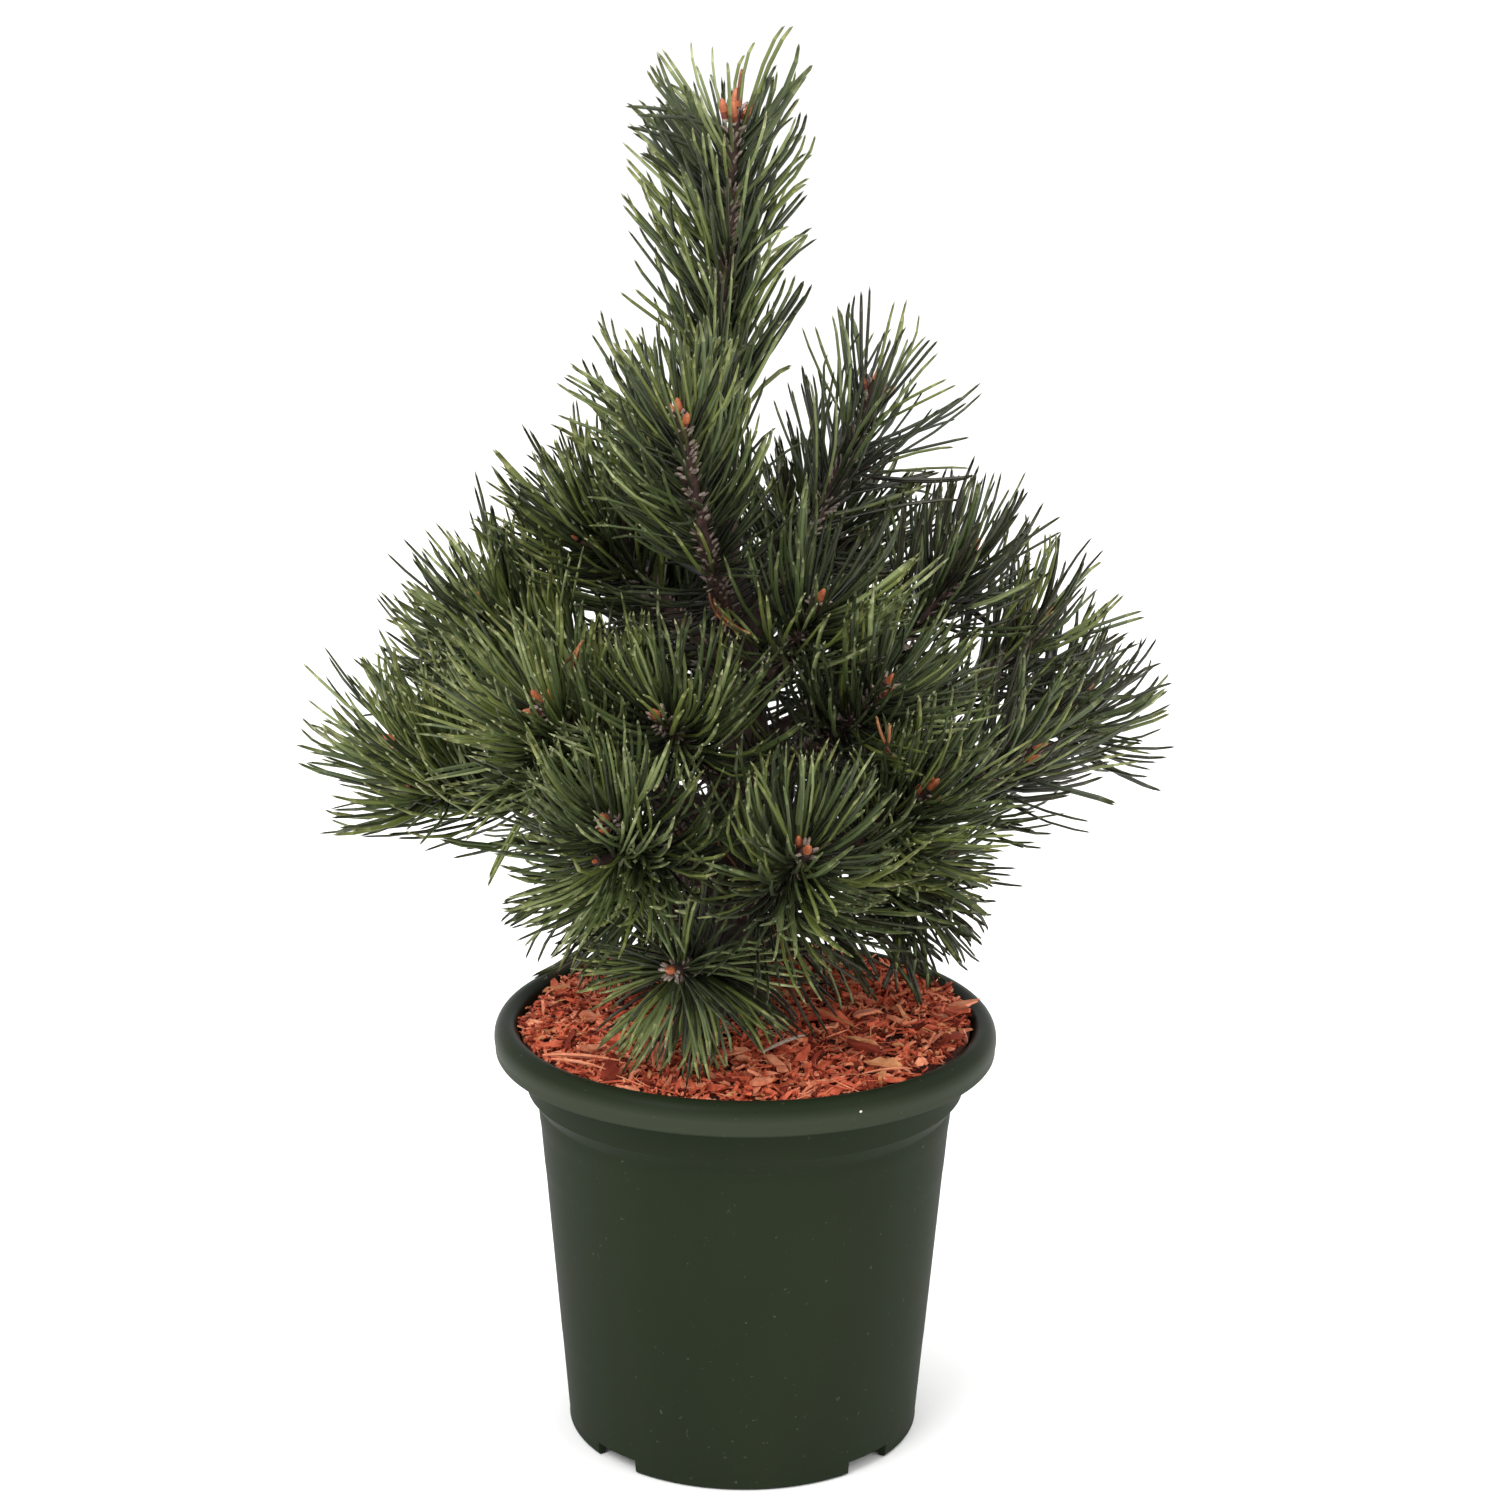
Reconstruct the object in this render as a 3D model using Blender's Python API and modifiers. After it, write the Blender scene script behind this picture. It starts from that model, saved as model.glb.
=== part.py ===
# Young mugo pine in a round nursery pot, one object for each sub-part.
# Metres, +Z up. The origin is the centre of the pot's underside, and -Y is the front.
import math
import random
from collections import namedtuple

import bmesh
import bpy
import numpy as np
from mathutils import Matrix, Vector, noise

GAP = 0.0003
MERGE = 0.00001
SLIVER = 0.000002
GOLDEN_ANGLE = math.radians(137.508)

# Pot: a thin turned shell with a rolled rim, a stacking collar and a notched foot ring.
RIM_RADIUS = 0.095
RIM_INNER_RADIUS = 0.0854
RIM_TOP = 0.1633
ROLL_HALF_HEIGHT = 0.0066
RIM_LIP_BOTTOM = 0.1510
LIP_WIDTH = 0.0020
LIP_ROUNDING = 0.0006
COLLAR_RADIUS = 0.0829
COLLAR_BOTTOM = 0.1365
COLLAR_DRAFT = 0.0006
COLLAR_ROUNDING = 0.0007
BODY_TOP_RADIUS = 0.0784
BODY_TOP = 0.1290
FOOT_RADIUS = 0.0675
FOOT_ROUNDING = 0.0010
WALL = 0.0018
FLOOR_UNDERSIDE = 0.0062
FLOOR_THICKNESS = 0.0022
FLOOR_FILLET = 0.0010
FOOT_RING_WIDTH = 0.0032
FOOT_RING_DRAFT = 0.0004
NOTCH_COUNT = 4
FIRST_NOTCH = 45
NOTCH_WIDTH = 0.0200
NOTCH_HEIGHT = 0.0052
NOTCH_CUT_DEPTH = 3 * FOOT_RING_WIDTH
DRAIN_RADIUS = 0.0045
DRAIN_CIRCLE = 0.040
DRAIN_SIDES = 12
DRAIN_CUT_LENGTH = 0.050
TURN_STEPS = 36
POT_SMOOTH_ANGLE = 30
SMOOTH_ANGLE = 40

# Root ball and bark mulch inside the pot. The mulch is heaped in the middle and lies
# higher at the back and on the right, where it reaches the rim.
SOIL_TOP = 0.1450
MULCH_EDGE_TOP = 0.1610
MULCH_MIDDLE_TOP = 0.1640
MULCH_SLOPE_X = 0.012
MULCH_SLOPE_Y = 0.015
MULCH_SHOULDER = 0.1575
MULCH_RADIUS = RIM_INNER_RADIUS - 2 * GAP
MULCH_RELIEF = 0.0011
MULCH_LUMPS = 90
MULCH_RINGS = 4

# Trunk: x, y and radius at each height, from the flat cut on the soil to its tip.
Station = namedtuple("Station", "height x y radius")
TRUNK = (
    Station(0.1453, 0.000, 0.000, 0.0130),
    Station(0.1540, 0.000, 0.000, 0.0118),
    Station(0.1680, -0.001, 0.001, 0.0104),
    Station(0.2030, -0.004, 0.002, 0.0095),
    Station(0.2310, -0.008, 0.000, 0.0090),
    Station(0.2740, -0.001, -0.002, 0.0078),
    Station(0.3090, -0.003, 0.001, 0.0066),
    Station(0.3450, -0.009, 0.002, 0.0056),
    Station(0.3720, -0.012, 0.001, 0.0048),
)
TRUNK_SIDES = 10
TRUNK_CUT_DROP = 0.010
LEADER_TIP = Vector((-0.006, 0.000, 0.501))
LEADER_POINTS = 9
LEADER_PULL = 0.040
LEADER_LEAN = 0.002

# Boughs: height on the trunk, then the bud's azimuth, distance from the pot's axis and height,
# the lift of the shoot at its bud, the length of the leafy shoot and its number of side twigs.
Bough = namedtuple("Bough", "name start azimuth reach height lift shoot twigs")
BOUGHS = (
    Bough("low_front", 0.186, -107, 0.089, 0.210, 18, 0.050, 0),
    Bough("low_left", 0.193, 178, 0.066, 0.221, 22, 0.043, 1),
    Bough("low_right", 0.190, 10, 0.078, 0.222, 22, 0.045, 1),
    Bough("low_back", 0.187, 96, 0.078, 0.214, 20, 0.048, 1),
    Bough("front_right", 0.204, -79, 0.107, 0.260, 30, 0.056, 0),
    Bough("front_left", 0.212, -116, 0.110, 0.269, 32, 0.058, 1),
    Bough("back_right", 0.206, 60, 0.116, 0.256, 32, 0.058, 1),
    Bough("back_left", 0.209, 124, 0.116, 0.262, 32, 0.058, 1),
    Bough("right_front", 0.211, -43, 0.088, 0.270, 45, 0.054, 1),
    Bough("far_right", 0.223, -5, 0.106, 0.270, 32, 0.052, 1),
    Bough("far_left", 0.224, -171, 0.130, 0.275, 30, 0.060, 1),
    Bough("left_front", 0.234, -136, 0.100, 0.303, 46, 0.058, 1),
    Bough("right_back", 0.235, 22, 0.141, 0.278, 32, 0.060, 1),
    Bough("back_middle", 0.236, 93, 0.110, 0.296, 42, 0.058, 1),
    Bough("left_back", 0.240, 156, 0.118, 0.290, 40, 0.058, 1),
    Bough("centre_front", 0.252, -112, 0.084, 0.300, 34, 0.046, 0),
    Bough("right_centre", 0.250, -46, 0.071, 0.306, 48, 0.044, 0),
    Bough("right_outer", 0.248, 19, 0.119, 0.309, 50, 0.050, 0),
    Bough("left_upper", 0.256, 179, 0.096, 0.322, 48, 0.052, 1),
    Bough("right_upper", 0.263, 18, 0.088, 0.338, 58, 0.050, 0),
    Bough("back_upper_right", 0.276, 62, 0.068, 0.348, 58, 0.052, 1),
    Bough("back_upper_left", 0.272, 124, 0.070, 0.338, 55, 0.052, 1),
    Bough("centre_right", 0.282, -60, 0.050, 0.334, 52, 0.040, 0),
    Bough("upper_left", 0.292, 172, 0.060, 0.356, 52, 0.046, 1),
    Bough("upper_front", 0.300, -114, 0.060, 0.402, 72, 0.074, 0),
    Bough("upper_right", 0.308, 34, 0.056, 0.400, 70, 0.064, 0),
    Bough("upper_back", 0.322, 150, 0.043, 0.398, 68, 0.060, 0),
)
BOUGH_POINTS = 6
BOUGH_SIDES = 6
BOUGH_ROOT_RADIUS = 0.0040
BOUGH_TIP_RADIUS = 0.0030
SHOOT_TIP_RADIUS = 0.0021
SHOOT_POINTS = 5
START_LIFT_DROP = 6

# Needles and buds. A solid needle stands for a tuft of real ones, so it is wider than life.
NEEDLE_LENGTH_FOOT = 0.048
NEEDLE_LENGTH_BUD = 0.041
NEEDLE_LENGTH_SPREAD = 0.08
LAST_NEEDLE = 0.004
NEEDLE_RADIUS = 0.0022
NEEDLE_SIDES = 3
NEEDLE_SPACING = 0.0027
# The needles' angle to the shoot in degrees, at its foot and at its bud, and how far it varies.
Habit = namedtuple("Habit", "foot bud spread")
LEADER_HABIT = Habit(42, 24, 13)
UPRIGHT_HABIT = Habit(52, 22, 11)
SIDE_HABIT = Habit(66, 22, 9)
UPRIGHT_LIFT = 60
NEEDLE_ANGLE_POWER = 2.0
BARE_SHOOT_FOOT = 0.007
FREE_SHARE = 0.12
TWIG_SHARE = 0.42
TWIG_ANGLE = 44
TWIG_RADIUS = 0.0022
TWIG_TAPER = 0.8
TWIG_PLACES = (0.30, 0.55)
TWIG_TRIES = 3
TWIG_FREE_SHARE = 0.3
TWIG_CLEAR_SHARE = 0.4
BUD_LENGTH = 0.007
BUD_ROOT_DEPTH = 0.003
BUD_RADIUS = 0.0021
BUD_TAPER = 0.3
BUD_SIDES = 5
SPACE_MARGIN = 0.0004
RIM_MARGIN = 0.006
SAMPLE_STEP = 0.003
SPACE_SAMPLES = 9
NEEDLE_SAMPLES = 24
FIRST_SEED = 100

Look = namedtuple("Look", "colour roughness")
DARK_GREEN_PLASTIC = Look((0.030, 0.045, 0.026), 0.42)
SOIL_BROWN = Look((0.060, 0.040, 0.028), 0.95)
MULCH_RED = Look((0.330, 0.105, 0.055), 0.90)
BARK_BROWN = Look((0.085, 0.060, 0.050), 0.90)
NEEDLE_GREEN = Look((0.045, 0.105, 0.045), 0.50)


def new_collection(name):
    collection = bpy.data.collections.new(name)
    bpy.context.scene.collection.children.link(collection)
    return collection


def new_object(name, data, collection):
    thing = bpy.data.objects.new(name, data)
    collection.objects.link(thing)
    return thing


def paint(thing, look):
    material = bpy.data.materials.new(thing.name + "_material")
    material.use_nodes = True
    shader = material.node_tree.nodes["Principled BSDF"]
    shader.inputs["Base Color"].default_value = (*look.colour, 1.0)
    shader.inputs["Roughness"].default_value = look.roughness
    shader.inputs["Metallic"].default_value = 0.0
    thing.data.materials.clear()
    thing.data.materials.append(material)


def evaluated_mesh(thing):
    bpy.context.view_layer.update()
    graph = bpy.context.evaluated_depsgraph_get()
    return bpy.data.meshes.new_from_object(thing.evaluated_get(graph))


def apply_modifiers(thing):
    mesh = evaluated_mesh(thing)
    thing.modifiers.clear()
    thing.data = mesh


def add_boolean(thing, other, operation):
    cut = thing.modifiers.new(operation.title(), "BOOLEAN")
    cut.operation = operation
    cut.solver = "EXACT"
    cut.object = other
    return cut


def as_guide(thing):
    thing.hide_render = True
    thing.display_type = "WIRE"


def turned(name, profile, collection):
    # The profile is a chain of (radius, height) points that starts and ends on the axis.
    mesh = bpy.data.meshes.new(name)
    points = [(radius, 0.0, height) for radius, height in profile]
    edges = [(i, i + 1) for i in range(len(points) - 1)]
    mesh.from_pydata(points, edges, [])
    thing = new_object(name, mesh, collection)
    screw = thing.modifiers.new("Turn", "SCREW")
    screw.axis = "Z"
    screw.steps = TURN_STEPS
    screw.render_steps = TURN_STEPS
    screw.use_merge_vertices = True
    screw.merge_threshold = MERGE
    return thing


def tube(name, points, radii, collection, sides):
    # A round limb: a curve with a bevel and filled caps, made a closed mesh.
    curve = bpy.data.curves.new(name, "CURVE")
    curve.dimensions = "3D"
    curve.bevel_depth = 1.0
    curve.bevel_resolution = sides // 2 - 2
    curve.use_fill_caps = True
    return limb_from_curve(name, curve, points, radii, collection)


def limb_from_curve(name, curve, points, radii, collection):
    spline = curve.splines.new("POLY")
    spline.points.add(len(points) - 1)
    for spot, point, radius in zip(spline.points, points, radii):
        spot.co = (*point, 1.0)
        spot.radius = radius
    guide = new_object(name + "_curve", curve, collection)
    mesh = evaluated_mesh(guide)
    mesh.name = name
    weld(mesh)
    thing = new_object(name, mesh, collection)
    thing.matrix_world = guide.matrix_world
    bpy.data.objects.remove(guide)
    return thing


def weld(mesh):
    work = bmesh.new()
    work.from_mesh(mesh)
    bmesh.ops.remove_doubles(work, verts=work.verts, dist=MERGE)
    bmesh.ops.recalc_face_normals(work, faces=work.faces)
    work.to_mesh(mesh)
    work.free()


def smooth(thing, angle=SMOOTH_ANGLE):
    thing.data.shade_smooth()
    thing.data.set_sharp_from_angle(angle=math.radians(angle))


def arc(centre, half_width, half_height, start, end, count):
    # Points of an ellipse from one angle to another, in degrees, as (radius, height).
    angles = [math.radians(start + (end - start) * i / (count - 1)) for i in range(count)]
    return [(centre[0] + half_width * math.cos(a), centre[1] + half_height * math.sin(a)) for a in angles]


def pot_inner_radius(height):
    slope = (BODY_TOP_RADIUS - FOOT_RADIUS) / BODY_TOP
    return FOOT_RADIUS + slope * min(height, BODY_TOP) - WALL


def pot_profile():
    roll_half_width = (RIM_RADIUS - RIM_INNER_RADIUS) / 2
    roll_centre = (RIM_RADIUS - roll_half_width, RIM_TOP - ROLL_HALF_HEIGHT)
    lip_radius = RIM_RADIUS - LIP_ROUNDING
    foot_centre = (FOOT_RADIUS - FOOT_ROUNDING, FOOT_ROUNDING)
    floor_top = FLOOR_UNDERSIDE + FLOOR_THICKNESS
    inside = [
        (0.0, floor_top),
        (pot_inner_radius(floor_top) - FLOOR_FILLET, floor_top),
        (pot_inner_radius(floor_top + FLOOR_FILLET), floor_top + FLOOR_FILLET),
        (pot_inner_radius(BODY_TOP), BODY_TOP),
        (COLLAR_RADIUS - WALL, COLLAR_BOTTOM),
        (COLLAR_RADIUS - WALL + COLLAR_DRAFT, RIM_LIP_BOTTOM),
    ]
    roll_outside = arc(roll_centre, roll_half_width, ROLL_HALF_HEIGHT, 180, -10, 7)
    lip = [
        (lip_radius, RIM_LIP_BOTTOM + LIP_ROUNDING),
        (lip_radius - 2 * LIP_ROUNDING, RIM_LIP_BOTTOM),
        (lip_radius - LIP_WIDTH, RIM_LIP_BOTTOM + LIP_ROUNDING),
    ]
    roll_underside = arc(roll_centre, roll_half_width - WALL, ROLL_HALF_HEIGHT - WALL, 0, 180, 4)
    collar = [
        (COLLAR_RADIUS + COLLAR_DRAFT, RIM_LIP_BOTTOM),
        (COLLAR_RADIUS, COLLAR_BOTTOM + COLLAR_ROUNDING),
        (COLLAR_RADIUS - COLLAR_ROUNDING, COLLAR_BOTTOM),
        (BODY_TOP_RADIUS, BODY_TOP),
    ]
    foot = arc(foot_centre, FOOT_ROUNDING, FOOT_ROUNDING, 0, -90, 3)
    underside = [
        (FOOT_RADIUS - FOOT_RING_WIDTH, 0.0),
        (FOOT_RADIUS - FOOT_RING_WIDTH - FOOT_RING_DRAFT, FLOOR_UNDERSIDE),
        (0.0, FLOOR_UNDERSIDE),
    ]
    return inside + roll_outside + lip + roll_underside + collar + foot + underside


def make_pot(parts, cutters):
    pot = turned("pot", pot_profile(), parts)
    for number in range(NOTCH_COUNT):
        angle = math.radians(FIRST_NOTCH + 360 / NOTCH_COUNT * number)
        outward = Vector((math.cos(angle), math.sin(angle), 0.0))
        notch = box_cutter(f"notch_cutter_{number + 1}", cutters)
        notch.location = outward * FOOT_RADIUS
        notch.rotation_euler = (0.0, 0.0, angle)
        add_boolean(pot, notch, "DIFFERENCE")
        drain = drain_cutter(f"drain_cutter_{number + 1}", cutters)
        drain.location = outward * DRAIN_CIRCLE
        add_boolean(pot, drain, "DIFFERENCE")
    apply_modifiers(pot)
    smooth(pot, POT_SMOOTH_ANGLE)
    paint(pot, DARK_GREEN_PLASTIC)
    return pot


def box_cutter(name, cutters):
    mesh = bpy.data.meshes.new(name)
    work = bmesh.new()
    bmesh.ops.create_cube(work, size=1.0)
    bmesh.ops.scale(work, vec=(NOTCH_CUT_DEPTH, NOTCH_WIDTH, 2 * NOTCH_HEIGHT), verts=work.verts)
    work.to_mesh(mesh)
    work.free()
    cutter = new_object(name, mesh, cutters)
    as_guide(cutter)
    return cutter


def drain_cutter(name, cutters):
    mesh = bpy.data.meshes.new(name)
    work = bmesh.new()
    bmesh.ops.create_cone(
        work, cap_ends=True, segments=DRAIN_SIDES, radius1=DRAIN_RADIUS, radius2=DRAIN_RADIUS,
        depth=DRAIN_CUT_LENGTH)
    work.to_mesh(mesh)
    work.free()
    cutter = new_object(name, mesh, cutters)
    as_guide(cutter)
    return cutter


def make_root_ball(parts):
    bottom = FLOOR_UNDERSIDE + FLOOR_THICKNESS + GAP
    foot_radius = pot_inner_radius(bottom) - 0.0015
    shoulder_radius = pot_inner_radius(BODY_TOP) - GAP
    profile = [
        (0.0, SOIL_TOP),
        (shoulder_radius, SOIL_TOP),
        (shoulder_radius, BODY_TOP),
        (foot_radius, bottom),
        (0.0, bottom),
    ]
    ball = turned("root_ball", profile, parts)
    apply_modifiers(ball)
    smooth(ball)
    paint(ball, SOIL_BROWN)
    return ball


def mulch_level(x, y):
    # Height of the mulch without its lumps, for a place or for arrays of them.
    share = np.minimum(np.hypot(x, y) / MULCH_RADIUS, 1.0)
    heap = MULCH_MIDDLE_TOP + (MULCH_EDGE_TOP - MULCH_MIDDLE_TOP) * share ** 2
    return heap + MULCH_SLOPE_X * x + MULCH_SLOPE_Y * y


def make_mulch(parts, trunk_cutter):
    bottom = SOIL_TOP + GAP
    wall_radius = COLLAR_RADIUS - WALL - 2 * GAP
    top = [(MULCH_RADIUS * ring / MULCH_RINGS, MULCH_MIDDLE_TOP) for ring in range(MULCH_RINGS + 1)]
    side = [(MULCH_RADIUS, MULCH_SHOULDER), (wall_radius, RIM_LIP_BOTTOM - GAP)]
    mulch = turned("mulch", top + side + [(wall_radius, bottom), (0.0, bottom)], parts)
    apply_modifiers(mulch)
    for vertex in mulch.data.vertices:
        x, y, z = vertex.co
        if z > MULCH_SHOULDER + GAP:
            lump = noise.noise(Vector((x, y, 0.0)) * MULCH_LUMPS)
            vertex.co.z = mulch_level(x, y) + MULCH_RELIEF * lump
    add_boolean(mulch, trunk_cutter, "DIFFERENCE")
    apply_modifiers(mulch)
    smooth(mulch)
    paint(mulch, MULCH_RED)
    return mulch


def trunk_point(height):
    for low, high in zip(TRUNK, TRUNK[1:]):
        if height <= high.height:
            break
    share = (height - low.height) / (high.height - low.height)
    eased = share * share * (3 - 2 * share)
    x = low.x + (high.x - low.x) * eased
    y = low.y + (high.y - low.y) * eased
    radius = low.radius + (high.radius - low.radius) * share
    return Vector((x, y, height)), radius


def trunk_line(grow=0.0):
    heights = []
    for low, high in zip(TRUNK, TRUNK[1:]):
        heights += [low.height, (low.height + high.height) / 2]
    heights.append(TRUNK[-1].height)
    points = [trunk_point(height)[0] for height in heights]
    radii = [trunk_point(height)[1] + grow for height in heights]
    return points, radii


def bezier(p0, p1, p2, p3, t):
    s = 1 - t
    return p0 * s ** 3 + p1 * (3 * s * s * t) + p2 * (3 * s * t * t) + p3 * t ** 3


def heading(azimuth, lift):
    a = math.radians(azimuth)
    e = math.radians(lift)
    return Vector((math.cos(a) * math.cos(e), math.sin(a) * math.cos(e), math.sin(e)))


def limb_line(bough, count=61):
    # One smooth line from the trunk's axis to the bud.
    root, _ = trunk_point(bough.start)
    bud = heading(bough.azimuth, 0) * bough.reach + Vector((0, 0, bough.height))
    chord = bud - root
    chord_azimuth = math.degrees(math.atan2(chord.y, chord.x))
    chord_lift = math.degrees(math.asin(chord.z / chord.length))
    pull = chord.length / 3
    leave = root + heading(chord_azimuth, chord_lift - START_LIFT_DROP) * pull
    arrive = bud - heading(bough.azimuth, bough.lift) * pull
    return [bezier(root, leave, arrive, bud, i / (count - 1)) for i in range(count)]


def leader_line(count):
    root = Vector((TRUNK[-1].x, TRUNK[-1].y, TRUNK[-1].height + GAP))
    leave = root + Vector((0, 0, LEADER_PULL))
    arrive = LEADER_TIP - Vector((LEADER_LEAN, 0, LEADER_PULL))
    return [bezier(root, leave, arrive, LEADER_TIP, i / (count - 1)) for i in range(count)]


def line_lengths(line):
    lengths = [0.0]
    for a, b in zip(line, line[1:]):
        lengths.append(lengths[-1] + (b - a).length)
    return lengths


def point_at(line, distance):
    # The point and the direction at a distance along a line.
    lengths = line_lengths(line)
    for i in range(len(line) - 1):
        if distance <= lengths[i + 1] or i == len(line) - 2:
            share = (distance - lengths[i]) / (lengths[i + 1] - lengths[i])
            return line[i].lerp(line[i + 1], share), (line[i + 1] - line[i]).normalized()


def stretch(line, start, end, count):
    return [point_at(line, start + (end - start) * i / (count - 1))[0] for i in range(count)]


def split_limb(bough):
    # The bough's own stretch, and the leafy shoot that goes on from its tip.
    line = limb_line(bough)
    total = line_lengths(line)[-1]
    joint = total - bough.shoot
    return stretch(line, 0.0, joint, BOUGH_POINTS), stretch(line, joint + GAP, total, SHOOT_POINTS)


def taper(count, first, last):
    return [first + (last - first) * i / (count - 1) for i in range(count)]


def sampled(points, radii):
    # Points and radii close together along a limb, for measuring clearances.
    places = []
    widths = []
    for (a, b), (ra, rb) in zip(zip(points, points[1:]), zip(radii, radii[1:])):
        steps = max(2, math.ceil((b - a).length / SAMPLE_STEP))
        for i in range(steps):
            places.append(a.lerp(b, i / steps))
            widths.append(ra + (rb - ra) * i / steps)
    places.append(points[-1])
    widths.append(radii[-1])
    return np.array([tuple(p) for p in places]), np.array(widths)


def distances(points, places):
    return np.linalg.norm(points[:, None, :] - places[None, :, :], axis=2)


class Space:
    # The space of one mass: nearer to its own shoot than to any other, and clear of the limbs.
    def __init__(self, own, others, limbs):
        self.own = own
        self.others = others
        self.limb_places = np.concatenate([places for places, widths in limbs])
        self.limb_widths = np.concatenate([widths for places, widths in limbs])

    def holds(self, start, end, root_width, tip_width, first_share=0.0):
        shares = np.linspace(first_share, 1.0, SPACE_SAMPLES)
        a = np.array(tuple(start))
        b = np.array(tuple(end))
        points = a + (b - a) * shares[:, None]
        widths = root_width + (tip_width - root_width) * shares
        return self.inside(points, widths) and self.clear_of_limbs(points, widths) and above_pot(points, widths)

    def inside(self, points, widths):
        to_own = distances(points, self.own).min(axis=1)
        to_others = distances(points, self.others).min(axis=1)
        return bool(np.all(to_others - to_own > 2 * (widths + SPACE_MARGIN)))

    def clear_of_limbs(self, points, widths):
        room = (distances(points, self.limb_places) - self.limb_widths).min(axis=1)
        return bool(np.all(room > widths + SPACE_MARGIN))


def free_part(root, tip, root_width, tip_width, free_share=FREE_SHARE):
    # Points and widths along a needle or twig, from where it stands free of what it grows on.
    shares = np.linspace(free_share, 1.0, NEEDLE_SAMPLES)
    start = np.array(tuple(root))
    points = start + (np.array(tuple(tip)) - start) * shares[:, None]
    return points, root_width + (tip_width - root_width) * shares


def crosses(needle, obstacles):
    points, widths = needle
    for other_points, other_widths in obstacles:
        reach = widths[:, None] + other_widths[None, :] + GAP
        if np.any(distances(points, other_points) < reach):
            return True
    return False


def above_pot(points, widths):
    radii = np.hypot(points[:, 0], points[:, 1])
    mulch_top = mulch_level(points[:, 0], points[:, 1]) + MULCH_RELIEF + SPACE_MARGIN
    lowest = np.where(radii < RIM_INNER_RADIUS - RIM_MARGIN, mulch_top, RIM_TOP + SPACE_MARGIN)
    lowest = np.where(radii > RIM_RADIUS + RIM_MARGIN, BODY_TOP, lowest)
    return bool(np.all(points[:, 2] - widths > lowest))


def side_direction(direction, turn, angle):
    # A unit vector at an angle to the direction, turned about it.
    side = direction.orthogonal().normalized()
    spun = Matrix.Rotation(turn, 3, direction) @ side
    return (direction * math.cos(angle) + spun * math.sin(angle)).normalized()


def spike(name, start, end, root_radius, tip_radius, sides, collection):
    # A straight tapering needle, twig or bud between two points.
    mesh = bpy.data.meshes.new(name)
    work = bmesh.new()
    length = (end - start).length
    bmesh.ops.create_cone(
        work, cap_ends=True, segments=sides, radius1=root_radius, radius2=tip_radius, depth=length)
    bmesh.ops.remove_doubles(work, verts=work.verts, dist=MERGE)
    work.to_mesh(mesh)
    work.free()
    thing = new_object(name, mesh, collection)
    turn = (end - start).to_track_quat("Z", "Y").to_matrix().to_4x4()
    thing.matrix_world = Matrix.Translation((start + end) / 2) @ turn
    return thing


def needle_spots(line, rng, first, habit):
    # Where needles leave a shoot, in golden-angle order, and their direction and length.
    last = line_lengths(line)[-1] - LAST_NEEDLE
    count = int((last - first) / NEEDLE_SPACING)
    turn = rng.uniform(0, math.tau)
    for i in range(count):
        share = (i + 0.5) / count
        turn += GOLDEN_ANGLE
        root, direction = point_at(line, first + (last - first) * share)
        angle = habit.foot + (habit.bud - habit.foot) * share ** NEEDLE_ANGLE_POWER
        angle += rng.uniform(-habit.spread, habit.spread)
        length = NEEDLE_LENGTH_FOOT + (NEEDLE_LENGTH_BUD - NEEDLE_LENGTH_FOOT) * share
        length *= 1 + rng.uniform(-NEEDLE_LENGTH_SPREAD, NEEDLE_LENGTH_SPREAD)
        yield root, side_direction(direction, turn, math.radians(angle)), length


def side_twigs(line, count, rng):
    total = line_lengths(line)[-1]
    turn = rng.uniform(0, math.tau)
    for i in range(count * TWIG_TRIES):
        turn += GOLDEN_ANGLE
        root, direction = point_at(line, total * rng.uniform(*TWIG_PLACES))
        lean = side_direction(direction, turn, math.radians(TWIG_ANGLE))
        yield root, root + lean * total * TWIG_SHARE


def three_sided_shoot(name, line, collection, profile):
    curve = bpy.data.curves.new(name, "CURVE")
    curve.dimensions = "3D"
    curve.bevel_mode = "OBJECT"
    curve.bevel_object = profile
    curve.use_fill_caps = True
    radii = taper(len(line), BOUGH_TIP_RADIUS, SHOOT_TIP_RADIUS)
    return limb_from_curve(name, curve, line, radii, collection)


def triangle_profile(collection):
    curve = bpy.data.curves.new("shoot_profile", "CURVE")
    curve.dimensions = "2D"
    spline = curve.splines.new("POLY")
    spline.points.add(2)
    spline.use_cyclic_u = True
    for i, spot in enumerate(spline.points):
        angle = math.radians(90 + 120 * i)
        spot.co = (math.cos(angle), math.sin(angle), 0.0, 1.0)
    profile = new_object("shoot_profile", curve, collection)
    as_guide(profile)
    return profile


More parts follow.
